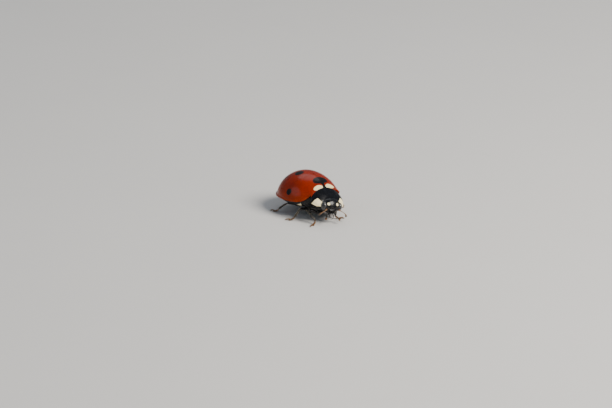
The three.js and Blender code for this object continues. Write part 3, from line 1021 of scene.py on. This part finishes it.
class LADYBIRD_OT_wing_cases(bpy.types.Operator):
    """Models the two domed wing cases with their rims, bases and seam"""

    bl_idname = "ladybird.wing_cases"
    bl_label = "Elytra"

    FADE = 1.3  # how far behind the shoulder the rim reaches its full width
    LEAST_RIM = 0.02
    TUCK_END = 0.985  # the share of the base, from the seam out, that slips under the shield

    def fade_rim(self, p):
        """Narrows the rim towards the shoulder."""
        turn = math.radians(RIM_TURN)
        edge, shoulder_y = dome_point(turn, p.y), front_edge_y(turn)
        if p.y < shoulder_y or p.z > edge.z + 0.03:
            return p
        return edge + (p - edge) * lerp(self.LEAST_RIM, 1, smoothstep(shoulder_y, shoulder_y + self.FADE, p.y))

    def execute(self, context):
        sizes, colours = context.scene.ladybird_sizes, context.scene.ladybird_colours

        def place(u, v):
            turn = u * math.radians(RIM_TURN)
            point = dome_point(turn, station_y(v, front_edge_y(turn)))
            return point + Vector((sizes.suture_gap / 2, 0, 0))

        case = sheet("wing_case_left_horn", 56, 90, place)
        near = 1e-3
        with editing(case, "EDGE"):
            pick_border(case, lambda u, v: v < near and u < self.TUCK_END)
            for back, up in TUCK_STEPS:
                draw_out((0, back, up))
            pick_border(case, lambda u, v: u > 1 - near and v > near)
            for out, up in RIM_STEPS:
                scale = (1 + out, 1 + out, 1)
                draw_out((0, 0, up), scale, (0, DOME.centre_y, 0))
            pick_border(case, lambda u, v: u < near and v > near)
            draw_out((0, 0, -0.02))
            bpy.ops.transform.translate(value=(-0.003, 0, 0))
            draw_out((0, 0, -0.12))
        mould(case, self.fade_rim)
        thicken(case, sizes.case_thickness)
        other = copy_to_other_side(case, "wing_case_right_horn")
        material = case_finish(sizes, colours)
        for side, piece in (("left", case), ("right", other)):
            undulate(piece, 0.012, 0.9)
            set_in_frame(lean(piece), material, [f"wing_case_{side}"])
        return {"FINISHED"}


class LADYBIRD_OT_shield(bpy.types.Operator):
    """Models the neck shield with its beaded margins"""

    bl_idname = "ladybird.shield"
    bl_label = "Neck Shield"

    def execute(self, context):
        sizes, colours = context.scene.ladybird_sizes, context.scene.ladybird_colours

        def place(u, v):
            side = 2 * u - 1
            side = math.copysign(1 - (1 - abs(side)) ** 1.25, side)
            bead = 0.03 * smoothstep(0.93, 0.97, abs(side)) * (1 - smoothstep(0.985, 1, abs(side)))
            gutter = 0.02 * smoothstep(0.88, 0.92, abs(side)) * (1 - smoothstep(0.92, 0.96, abs(side)))
            roll = 0.03 * (smoothstep(0.05, 0.0, v) + smoothstep(0.96, 1.0, v))
            return shield_point(side, v, gutter - bead + roll)

        shield = sheet("pronotum_horn", 90, 30, place)
        thicken(shield, sizes.shield_thickness)
        apply_modifier(shield, "BEVEL", width=0.018, segments=2, limit_method="ANGLE", angle_limit=math.radians(50))
        undulate(shield, 0.012, 0.7)
        set_in_frame(tip(shield, with_head=False), shield_finish(colours), ["pronotum"])
        return {"FINISHED"}


class LADYBIRD_OT_scutellum(bpy.types.Operator):
    """Models the small triangular plate between the wing cases"""

    bl_idname = "ladybird.scutellum"
    bl_label = "Scutellum"

    WIDTH = 0.5
    LENGTH = 0.46

    def execute(self, context):
        front_y = SHIELD.hind_y - 0.05

        def place(u, v):
            half = self.WIDTH / 2 * (1 - v**1.15)
            x = (2 * u - 1) * half
            crown = 0.02 * (1 - (2 * u - 1) ** 4) * (1 - v**4)
            return on_dome(x, front_y + v * (self.LENGTH + 0.08), 0.012 + crown)

        plate = sheet("scutellum_horn", 16, 20, place)
        thicken(plate, 0.08)
        colours = context.scene.ladybird_colours
        horn = black_horn("Scutellum Horn", leaning_place, colours)
        set_in_frame(lean(plate), horn, ["scutellum"])
        return {"FINISHED"}


# ---- Head ----

CLYPEUS = Sizes(half_width=0.4, z=1.12, reach=0.2, forward=0.1)


def head_shape(p):
    """Shapes a point of the ball of the head: a flat brow, a narrow mouth, a clypeus and raised eye rims."""
    d = Vector(((p - HEAD.centre)[k] / HEAD.radii[k] for k in range(3)))
    front = smoothstep(0.1, 0.9, -d.y)
    x, y, z = p
    y += 0.07 * front * smoothstep(-0.3, 0.5, d.z)
    x *= 1 - 0.3 * smoothstep(0.1, 1.0, -d.z)
    level = (z - CLYPEUS.z) / CLYPEUS.reach
    plate = math.exp(-((x / CLYPEUS.half_width) ** 6) - level**4) * front
    y -= CLYPEUS.forward * plate
    groove = math.exp(-(((z - CLYPEUS.z - 0.24) / 0.035) ** 2)) * smoothstep(0.5, 0.4, abs(x)) * front
    y += 0.03 * groove
    for side in SIDES.values():
        away = Vector((x - side * EYE.centre.x, y - EYE.centre.y, z - EYE.centre.z))
        reach = Vector((away[k] / EYE.radii[k] for k in range(3))).length
        rim = 0.03 * math.exp(-(((reach - 1.1) / 0.09) ** 2))
        out = (p - HEAD.centre).normalized()
        x, y, z = x + rim * out.x, y + rim * out.y, z + rim * out.z
    return Vector((x, y, z))


class LADYBIRD_OT_head(bpy.types.Operator):
    """Models the head and the compound eyes"""

    bl_idname = "ladybird.head"
    bl_label = "Head and Eyes"

    def execute(self, context):
        colours = context.scene.ladybird_colours
        head = start(
            "head_horn", bpy.ops.mesh.primitive_uv_sphere_add, segments=96, ring_count=64, location=HEAD.centre,
            scale=HEAD.radii,
        )
        bpy.ops.object.transform_apply(location=True, rotation=True, scale=True)
        mould(head, head_shape)
        undulate(head, 0.012, 0.35)
        set_in_frame(tip(head), head_finish(colours), ["head"])

        eye = start(
            "eye_left_facets", bpy.ops.mesh.primitive_uv_sphere_add, segments=48, ring_count=32,
            location=EYE.centre, scale=EYE.radii,
        )
        bpy.ops.object.transform_apply(location=True, rotation=True, scale=True)
        other = copy_to_other_side(eye, "eye_right_facets")
        material = eye_finish()
        for side, piece in (("left", eye), ("right", other)):
            set_in_frame(tip(piece), material, [f"eye_{side}"])
        return {"FINISHED"}


PALP_BEADS = ((0.16, 0.05), (0.22, 0.055), (0.16, 0.06), (0.3, 0.06))
PALP_END = Sizes(begin=0.64, narrow=0.04, wide=0.115)  # the last joint spreads like a hatchet
LIP_PALP_PATH = ((0.14, -3.3, 0.82), (0.2, -3.44, 0.7), (0.2, -3.5, 0.58))
LIP_PALP_BEADS = ((0.1, 0.035), (0.12, 0.04), (0.12, 0.045))


class LADYBIRD_OT_mouthparts(bpy.types.Operator):
    """Models the upper lip, the jaws and the two pairs of palps"""

    bl_idname = "ladybird.mouthparts"
    bl_label = "Mouthparts"

    def execute(self, context):
        colours = context.scene.ladybird_colours
        horn = limb_finish("Mouth Horn", colours, 0.55, 1.0)

        lip = start(
            "labrum_horn", bpy.ops.mesh.primitive_uv_sphere_add, segments=40, ring_count=20,
            location=(0, -3.46, 0.98), scale=(0.36, 0.2, 0.1),
        )
        bpy.ops.object.transform_apply(location=True, rotation=True, scale=True)

        def notch(p):
            dip = 0.05 * math.exp(-((p.x / 0.1) ** 2)) * smoothstep(-3.46, -3.64, p.y)
            return Vector((p.x, p.y + dip, p.z - 0.35 * (p.x / 0.36) ** 2 * 0.1))

        mould(lip, notch)
        set_in_frame(tip(lip), black_horn("Lip Horn", head_place, colours), ["labrum"])

        def jaw_width(t):
            return 0.09 * (1 - 0.75 * t)

        jaw_path = ((0.34, -3.3, 0.92), (0.36, -3.5, 0.86), (0.2, -3.62, 0.84), (0.05, -3.64, 0.84))
        jaw = bar("jaw_left", jaw_path, jaw_width, 16, 20, flat=0.7)
        jaws = [jaw, copy_to_other_side(jaw, "jaw_right")]

        def palp_width(t):
            spread = smoothstep(PALP_END.begin, 0.92, t)
            return beaded(PALP_BEADS, t) if t < PALP_END.begin else lerp(PALP_END.narrow, PALP_END.wide, spread)

        palp = bar("palp_left_joints", PALP_PATH, palp_width, 20, 56, flat=0.5, blunt=16)
        palps = [palp, copy_to_other_side(palp, "palp_right_joints")]
        small = bar("lip_palp_left", LIP_PALP_PATH, lambda t: beaded(LIP_PALP_BEADS, t), 12, 30)
        smalls = [small, copy_to_other_side(small, "lip_palp_right")]
        for side, jaw_piece, palp_piece, small_piece in zip(SIDES, jaws, palps, smalls):
            set_in_frame(tip(jaw_piece), horn)
            set_in_frame(tip(palp_piece), horn, [f"palp_{side}"])
            set_in_frame(tip(small_piece), horn)
        return {"FINISHED"}


# A long first joint, a short second one, six slim ones and the three of the club: length, half width.
FEELER_BEADS = (
    (0.2, 0.062), (0.1, 0.05), (0.12, 0.036), (0.1, 0.036), (0.1, 0.037), (0.09, 0.039), (0.09, 0.042),
    (0.09, 0.05), (0.13, 0.078), (0.13, 0.092), (0.16, 0.08),
)


class LADYBIRD_OT_feelers(bpy.types.Operator):
    """Models the two short feelers of eleven joints with their clubs"""

    bl_idname = "ladybird.feelers"
    bl_label = "Feelers"

    def execute(self, context):
        def width(t):
            return beaded(FEELER_BEADS, t, waist=0.5)

        feeler = bar("feeler_left_joints", FEELER_PATH, width, 18, 150, flat=0.85, blunt=30)
        other = copy_to_other_side(feeler, "feeler_right_joints")
        material = feeler_finish(context.scene.ladybird_colours)
        for side, piece in (("left", feeler), ("right", other)):
            set_in_frame(tip(piece), material, [f"feeler_{side}"])
        return {"FINISHED"}


# ---- Body ----

HOLD_DEPTH = 0.56  # from the shield's margins down to the underside of the front body


def shield_hold_point(turn, v):
    """A point of the body under the shield, drawn in at each end. v is 0 in front and 1 behind."""
    quarter = math.pi / 2
    down = max(0.0, abs(turn) - quarter)
    side = math.copysign(min(1.0, abs(turn) / quarter) * 0.96, turn)
    point = shield_point(side, lerp(0.06, 0.97, v), 0.14)
    point.x *= math.cos(down) ** 0.7
    point.y = lerp(point.y, lerp(-2.8, -1.62, v), math.sin(down))
    point.z -= HOLD_DEPTH * math.sin(down) ** 0.8
    fill = math.sqrt(max(0.0, 1 - abs(2 * v - 1) ** 8))
    return Vector((0, point.y, 1.7)).lerp(point, fill)


def side_plate(name, begin_y, end_y, low_turn, high_turn, taper):
    """A thin plate on the left flank under the wing case, narrowing towards its rear."""

    def place(u, v):
        y = lerp(begin_y, end_y, v)
        middle = (low_turn + high_turn) / 2
        half = (high_turn - low_turn) / 2 * (1 - taper * v)
        turn = math.radians(middle + (2 * u - 1) * half)
        crown = (1 - (2 * u - 1) ** 4) * (1 - (2 * v - 1) ** 4)
        point = trunk_point(turn, y)
        out = Vector((math.sin(turn), 0, math.cos(turn) * 0.6)).normalized()
        return point + out * (0.01 + 0.03 * crown)

    plate = sheet(name, 14, 14, place)
    thicken(plate, 0.05)
    return plate


class LADYBIRD_OT_body(bpy.types.Operator):
    """Models the three parts of the body and the ivory plates on its flanks"""

    bl_idname = "ladybird.body"
    bl_label = "Body"

    def execute(self, context):
        colours = context.scene.ladybird_colours
        horn = belly_finish(colours)

        front = sheet("prothorax_horn", 56, 28, lambda u, v: shield_hold_point((2 * u - 1) * math.pi, v))
        face_out(front)
        set_in_frame(tip(front, with_head=False), horn, ["prothorax"])

        end_y = DOME.centre_y + DOME.rear - BELLY.inset
        parts = {
            "thorax": (BELLY.front_y, BELLY.waist_y + 0.02, 30),
            "abdomen": (BELLY.waist_y, end_y, 110),
        }
        for name, (begin, end, rows) in parts.items():

            def place(u, v):
                turn = (2 * u - 1) * math.pi
                y = lerp(begin, end, math.sin(v * math.pi / 2) if name == "abdomen" else v)
                return trunk_point(turn, y)

            part = sheet(f"{name}_horn", 72, rows, place)
            with editing(part, "EDGE"):
                bpy.ops.mesh.select_all(action="SELECT")
                bpy.ops.mesh.fill_holes(sides=0)
            face_out(part)
            set_in_frame(lean(part), horn, [name])

        ivory = ivory_finish(colours)
        pale = side_plate("side_plate_left", -0.72, -0.3, 92, 116, 0.8)
        dark = side_plate("flank_plate_left", -0.05, 1.5, 92, 112, 0.5)
        for plate, material in ((pale, ivory), (dark, horn)):
            other = copy_to_other_side(plate, plate.name.replace("left", "right"))
            for piece in (plate, other):
                set_in_frame(lean(piece), material)
        return {"FINISHED"}


# ---- Legs ----


def toward(a, b, share):
    return Vector(a).lerp(Vector(b), share)


def spur(name, root, tip_at, wide):
    return bar(name, (root, toward(root, tip_at, 0.5), tip_at), lambda t: wide * (1 - 0.8 * t), 8, 8)


def claw_pair(name, root, ahead, sideways):
    """Two hooked claws, each with a tooth at its base."""
    down = Vector((0, 0, -1))
    hooks = []
    for k, spread in enumerate((-1, 1)):
        side = sideways * spread
        path = (
            root,
            root + ahead * 0.06 + side * 0.035 + Vector((0, 0, 0.012)),
            root + ahead * 0.12 + side * 0.06 + down * 0.02,
            Vector((*(root + ahead * 0.145 + side * 0.065).xy, 0.006)),
        )
        hooks.append(bar(f"{name}_{k}", path, lambda t: 0.021 * (1 - 0.85 * t), 10, 16))
        tooth_root = root + ahead * 0.05 + side * 0.03
        tooth = Vector((*(tooth_root + ahead * 0.03).xy, 0.012))
        hooks.append(spur(f"{name}_tooth_{k}", tooth_root, tooth, 0.016))
    return join(name, hooks)


class LADYBIRD_OT_legs(bpy.types.Operator):
    """Models the six jointed legs, their feet and their claws"""

    bl_idname = "ladybird.legs"
    bl_label = "Legs"

    def thigh(self, name, hip, knee, wide):
        """The hip joint, the small ring after it and the thigh, in one piece."""
        hip, knee = Vector(hip), Vector(knee)
        ball = start(
            f"{name}_hip", bpy.ops.mesh.primitive_uv_sphere_add, segments=32, ring_count=20,
            location=hip + Vector((0, 0, 0.12)), scale=(0.36, 0.24, 0.22),
        )
        bpy.ops.object.transform_apply(location=True, rotation=True, scale=True)
        ring = bar(
            f"{name}_ring", (toward(hip, knee, 0.08), toward(hip, knee, 0.18), toward(hip, knee, 0.3)),
            lambda t: 0.13, 20, 14,
        )

        def width(t):
            return wide * lerp(0.62, 1, math.sin(math.pi * t**0.85)) * (1 - 0.12 * t)

        bow = toward(hip, knee, 0.55) + Vector((0, 0, 0.07))
        main = bar(f"{name}_main", (toward(hip, knee, 0.2), bow, knee), width, 28, 40, flat=0.66)
        return join(f"{name}_thigh_horn", [main, ball, ring])

    def shin(self, name, knee, ankle, wide):
        """The shin with its two spurs."""
        knee, ankle = Vector(knee), Vector(ankle)
        start_at = toward(knee, ankle, -0.05)
        bow = toward(knee, ankle, 0.5) + (ankle - knee).cross(Vector((0, 0, 1))).cross(ankle - knee) * 0.03

        def width(t):
            return wide * lerp(0.72, 1, smoothstep(0.0, 1.0, t)) * (1 - 0.2 * math.exp(-(((t - 0.12) / 0.06) ** 2)))

        main = bar(f"{name}_main", (start_at, bow, ankle), width, 24, 40, flat=0.85, blunt=10)
        along = (ankle - knee).normalized()
        across = along.cross(Vector((0, 0, 1))).normalized()
        root = toward(knee, ankle, 0.94)
        spurs = [
            spur(f"{name}_spur_{k}", root + across * 0.05 * k, root + along * 0.15 + across * 0.1 * k, 0.02)
            for k in (-1, 1)
        ]
        return join(f"{name}_shin_horn", [main, *spurs])

    def foot(self, name, ankle, toe):
        """Three joints on the floor: a wedge, a heart-shaped pad and a slim one that bears the claws."""
        ankle, toe = Vector(ankle), Vector(toe)
        ahead = Vector((*(toe - ankle).xy, 0)).normalized()
        reach = (toe - ankle).xy.length + 0.1
        sideways = ahead.cross(Vector((0, 0, 1)))
        floor_at = Vector((*ankle.xy, 0))

        def at(share, height):
            return floor_at + ahead * (share * reach) + Vector((0, 0, height))

        first = bar(
            f"{name}_first", (ankle + Vector((0, 0, -0.02)), at(0.12, 0.2), at(0.38, 0.085)),
            lambda t: lerp(0.06, 0.105, t), 20, 20, flat=0.62,
        )
        lobes = [
            bar(
                f"{name}_lobe_{k}", (at(0.32, 0.1), at(0.46, 0.065) + sideways * 0.05 * k,
                                     at(0.62, 0.05) + sideways * 0.085 * k),
                lambda t: lerp(0.05, 0.078, t), 18, 16, flat=0.62,
            )
            for k in (-1, 1)
        ]
        last = bar(
            f"{name}_last", (at(0.44, 0.1), at(0.62, 0.15), at(0.82, 0.13), at(0.93, 0.075)),
            lambda t: lerp(0.034, 0.05, t), 16, 24,
        )
        joints = join(f"{name}_foot_joints", [first, *lobes, last])
        claws = claw_pair(f"{name}_claws", at(0.9, 0.08), ahead, sideways)
        return joints, claws

    def execute(self, context):
        sizes, colours = context.scene.ladybird_sizes, context.scene.ladybird_colours
        thigh_horn = limb_finish("Thigh Horn", colours, 1.2, 2.0)
        shin_horn = limb_finish("Shin Horn", colours, 0.75, 1.15)
        foot_horn = limb_finish("Foot Horn", colours, -0.6, 0.5)
        claw_horn = claw_finish(colours)
        for name, (hip, knee, ankle, toe) in LEGS.items():
            thigh = self.thigh(name, hip, knee, sizes.thigh_width)
            set_in_frame(thigh, thigh_horn, [f"{name}_thigh"])
            shin = self.shin(name, knee, ankle, sizes.shin_width)
            set_in_frame(shin, shin_horn, [f"{name}_shin"])
            foot, claws = self.foot(name, ankle, toe)
            set_in_frame(foot, foot_horn, [f"{name}_foot"])
            set_in_frame(claws, claw_horn)
        return {"FINISHED"}


# ---- Coat of fine hairs ----

PATCH = 0.003  # the size of a hair's patch on the map that carries its colour


def skin_samples(piece, count, seed):
    """Random places on a piece, in millimetres, with their normals and their own u and v."""
    mesh = piece.data
    mesh.calc_loop_triangles()
    points = np.array([v.co for v in mesh.vertices]) / MM
    normals = np.array([v.normal for v in mesh.vertices])
    maps = np.array([loop.uv for loop in mesh.uv_layers.active.data])
    corners = np.array([t.vertices for t in mesh.loop_triangles])
    loops = np.array([t.loops for t in mesh.loop_triangles])
    a, b, c = (points[corners[:, k]] for k in range(3))
    area = np.linalg.norm(np.cross(b - a, c - a), axis=1)
    random = np.random.default_rng(seed)
    chosen = random.choice(len(area), count, p=area / area.sum())
    s, t = random.random((2, count))
    flip = s + t > 1
    s[flip], t[flip] = 1 - s[flip], 1 - t[flip]
    share = np.stack([1 - s - t, s, t], 1)[:, :, None]
    roots = (points[corners[chosen]] * share).sum(1)
    outward = (normals[corners[chosen]] * share).sum(1)
    outward /= np.linalg.norm(outward, axis=1, keepdims=True) + 1e-9
    return roots, outward, (maps[loops[chosen]] * share).sum(1), random


def grow_hairs(name, skins, lie, sizes, material, length=1.0, lift=0.5, keep=None, seed=7):
    """Tapering three-sided hairs on some skins, each given with its count. lie is the way that they lie."""
    points, faces, maps = [], [], []
    for band, (skin, count) in enumerate(skins):
        roots, outward, uv, random = skin_samples(skin, count, seed + band)
        for root, normal, own in zip(roots, outward, uv):
            chance, jitter = random.random(), random.normal(size=3) * 0.25
            if keep and not keep(root, normal):
                continue
            lying = np.array(lie(root)) + jitter
            lying = lying - normal * (lying @ normal)
            lying /= np.linalg.norm(lying) + 1e-9
            side = np.cross(normal, lying)
            long = sizes.hair_length * length * (0.55 + 0.45 * chance)
            wide = sizes.hair_width
            first = len(points)
            middle = root + normal * long * lift * 0.62 + lying * long * 0.42
            end = root + normal * long * lift * 0.85 + lying * long * 0.95
            for centre, across in ((root - normal * 0.01, wide), (middle, wide * 0.75)):
                for k in range(3):
                    angle = 2 * math.pi * k / 3
                    points.append(centre + across * (math.cos(angle) * side + math.sin(angle) * normal))
            points.append(end)
            faces.append((first, first + 2, first + 1))
            for k in range(3):
                n = (k + 1) % 3
                faces.append((first + k, first + n, first + 3 + n, first + 3 + k))
                faces.append((first + 3 + k, first + 3 + n, first + 6))
            centre_map = ((band + min(0.97, max(0.03, own[0]))) / len(skins), min(0.99, max(0.01, own[1])))
            maps.append(centre_map)
    mesh = bpy.data.meshes.new(name)
    mesh.from_pydata([tuple(p) for p in points], [], faces)
    layer = mesh.uv_layers.new(name="OFBake")
    for loop in mesh.loops:
        hair, corner = divmod(loop.vertex_index, 7)
        angle = 2 * math.pi * corner / 7
        u, v = maps[hair]
        layer.data[loop.index].uv = (u + PATCH / 2 * math.cos(angle), v + PATCH / 2 * math.sin(angle))
    piece = bpy.data.objects.new(name, mesh)
    bpy.context.scene.collection.objects.link(piece)
    face_out(piece)
    return set_in_frame(piece, material)


class LADYBIRD_OT_coat(bpy.types.Operator):
    """Grows the fine hairs of the legs, the underside, the head and the feelers"""

    bl_idname = "ladybird.coat"
    bl_label = "Fine Hairs"

    def execute(self, context):
        sizes, colours = context.scene.ladybird_sizes, context.scene.ladybird_colours
        material = hair_finish(colours)
        objects = bpy.data.objects

        for index, (name, (hip, knee, ankle, toe)) in enumerate(LEGS.items()):
            down_leg = (np.array(toe) - np.array(knee)) * (1, 1, 0.6)
            skins = [
                (objects[f"{name}_thigh_horn"], 420),
                (objects[f"{name}_shin_horn"], 520),
                (objects[f"{name}_foot_joints"], 620),
            ]
            grow_hairs(
                f"{name}_hairs", skins, lambda root: down_leg, sizes, material, length=0.75, lift=0.55,
                keep=lambda root, normal: root[2] > 0.03, seed=100 + index,
            )

        def under(root, normal):
            return normal[2] < 0.35

        skins = [(objects["prothorax_horn"], 1500), (objects["thorax_horn"], 2500), (objects["abdomen_horn"], 4200)]
        grow_hairs(
            "belly_hairs", skins, lambda root: (0, 1, -0.15), sizes, material, length=0.85, lift=0.3,
            keep=under, seed=31,
        )

        def face(root, normal):
            return normal[1] < -0.2 and root[2] < 1.9

        skins = [(objects["head_horn"], 900), (objects["labrum_horn"], 60)]
        grow_hairs(
            "face_hairs", skins, lambda root: (0, -0.3, -1), sizes, material, length=0.6, lift=0.45,
            keep=face, seed=47,
        )
        skins = [(objects[f"{part}_{side}_joints"], 240) for part in ("feeler", "palp") for side in SIDES]
        grow_hairs(
            "feeler_hairs", skins, lambda root: (0.3 * math.copysign(1, root[0]), -0.4, -1), sizes, material,
            length=0.42, lift=0.6, seed=59,
        )
        return {"FINISHED"}


# ---- Studio ----

TARGET = Vector((0, 0, 1.8)) * MM
PIXEL = 1 / 10.68 * MM  # the width of one pixel at the beetle
IMAGE_WIDTH = 612
OFF_CENTRE = (6.8, 9.5)  # where the target lies from the middle of the image, right and up, in pixels


class LADYBIRD_OT_studio(bpy.types.Operator):
    """Makes the floor, the lights and the camera"""

    bl_idname = "ladybird.studio"
    bl_label = "Studio"

    FLOOR_RADIUS = 0.28
    SWEEP_RADIUS = 0.17
    SWEEP_STEPS = 16

    def floor(self, studio):
        """A round floor whose edge curves up into a wall."""
        floor = start(
            "studio_floor", bpy.ops.mesh.primitive_circle_add, vertices=96, radius=self.FLOOR_RADIUS,
            fill_type="NGON",
        )
        with editing(floor, "EDGE"):
            pick(floor, "edges", lambda edge: edge.is_boundary)
            radius, height = self.FLOOR_RADIUS, 0.0
            for k in range(1, self.SWEEP_STEPS + 1):
                angle = math.radians(80) * k / self.SWEEP_STEPS
                wide = self.FLOOR_RADIUS + self.SWEEP_RADIUS * math.sin(angle)
                tall = self.SWEEP_RADIUS * (1 - math.cos(angle))
                draw_out((0, 0, tall - height), (wide / radius, wide / radius, 1))
                radius, height = wide, tall
        hold(floor)
        bpy.ops.object.shade_smooth()
        floor.data.materials.append(floor_finish(studio.floor))

    def light(self, name, place, size, power, colour=(1, 1, 1)):
        """A round soft light that faces the beetle."""
        hold(None)
        bpy.ops.object.light_add(type="AREA", location=place)
        light = bpy.context.object
        light.name = name
        light.data.shape = "ELLIPSE"
        light.data.size, light.data.size_y = size
        light.data.energy = power
        light.data.color = colour
        light.rotation_euler = (TARGET - Vector(place)).to_track_quat("-Z", "Y").to_euler()

    def camera(self, studio, right, up, back):
        hold(None)
        shift = right * (OFF_CENTRE[0] * PIXEL) + up * (OFF_CENTRE[1] * PIXEL)
        bpy.ops.object.camera_add(location=TARGET + back * studio.distance - shift)
        camera = bpy.context.object
        camera.name = "camera"
        camera.rotation_mode = "QUATERNION"
        camera.rotation_quaternion = (-back).to_track_quat("-Z", "Y")
        camera.data.sensor_width = 36
        camera.data.lens = camera.data.sensor_width * studio.distance / (PIXEL * IMAGE_WIDTH)
        camera.data.clip_start = 0.01
        camera.data.clip_end = 10
        bpy.context.scene.camera = camera

    def execute(self, context):
        studio = context.scene.ladybird_studio
        a, e = studio.azimuth, studio.elevation
        right = Vector((math.cos(a), math.sin(a), 0))
        back = Vector((math.sin(a) * math.cos(e), -math.cos(a) * math.cos(e), math.sin(e)))
        up = back.cross(right)
        self.floor(studio)
        key_at = TARGET + right * 0.15 + Vector((0, 0, 0.12)) + back * 0.09
        self.light("key", key_at, (0.12, 0.12), studio.key, (1, 0.95, 0.87))
        fill_at = TARGET - right * 0.2 + Vector((0, 0, 0.12)) + back * 0.03
        self.light("fill", fill_at, (0.16, 0.14), studio.fill, (0.85, 0.92, 1))
        top_at = TARGET + Vector((0, 0, 0.26)) - back * 0.16
        self.light("top", top_at, (0.22, 0.12), studio.top)
        world = context.scene.world or bpy.data.worlds.new("Studio")
        context.scene.world = world
        world.use_nodes = True
        background = world.node_tree.nodes["Background"]
        background.inputs["Color"].default_value = (0.74, 0.86, 1, 1)
        background.inputs["Strength"].default_value = 0.25
        self.camera(studio, right, up, back)
        return {"FINISHED"}


# ---- The add-on ----

PIECE_OPERATORS = (
    LADYBIRD_OT_wing_cases,
    LADYBIRD_OT_shield,
    LADYBIRD_OT_scutellum,
    LADYBIRD_OT_head,
    LADYBIRD_OT_mouthparts,
    LADYBIRD_OT_feelers,
    LADYBIRD_OT_body,
    LADYBIRD_OT_legs,
    LADYBIRD_OT_coat,
    LADYBIRD_OT_studio,
)
GROUPS = {
    "ladybird_sizes": LadybirdSizes,
    "ladybird_colours": LadybirdColours,
    "ladybird_studio": LadybirdStudio,
}


class LADYBIRD_PT_panel(bpy.types.Panel):
    """Lists the steps and the settings"""

    bl_idname = "LADYBIRD_PT_panel"
    bl_label = "Ladybird"
    bl_space_type = "VIEW_3D"
    bl_region_type = "UI"
    bl_category = "Ladybird"

    def draw(self, context):
        for operator in PIECE_OPERATORS:
            self.layout.operator(operator.bl_idname)
        for name, group in GROUPS.items():
            box = self.layout.box()
            for setting in group.__annotations__:
                box.prop(getattr(context.scene, name), setting)


CLASSES = (*GROUPS.values(), *PIECE_OPERATORS, LADYBIRD_PT_panel)


def register():
    for made in CLASSES:
        bpy.utils.register_class(made)
    for name, group in GROUPS.items():
        setattr(bpy.types.Scene, name, PointerProperty(type=group))


def unregister():
    for name in GROUPS:
        delattr(bpy.types.Scene, name)
    for made in reversed(CLASSES):
        bpy.utils.unregister_class(made)


def main():
    register()
    for operator in PIECE_OPERATORS:
        _, step = operator.bl_idname.split(".")
        getattr(bpy.ops.ladybird, step)()
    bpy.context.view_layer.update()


if __name__ == "__main__":
    main()
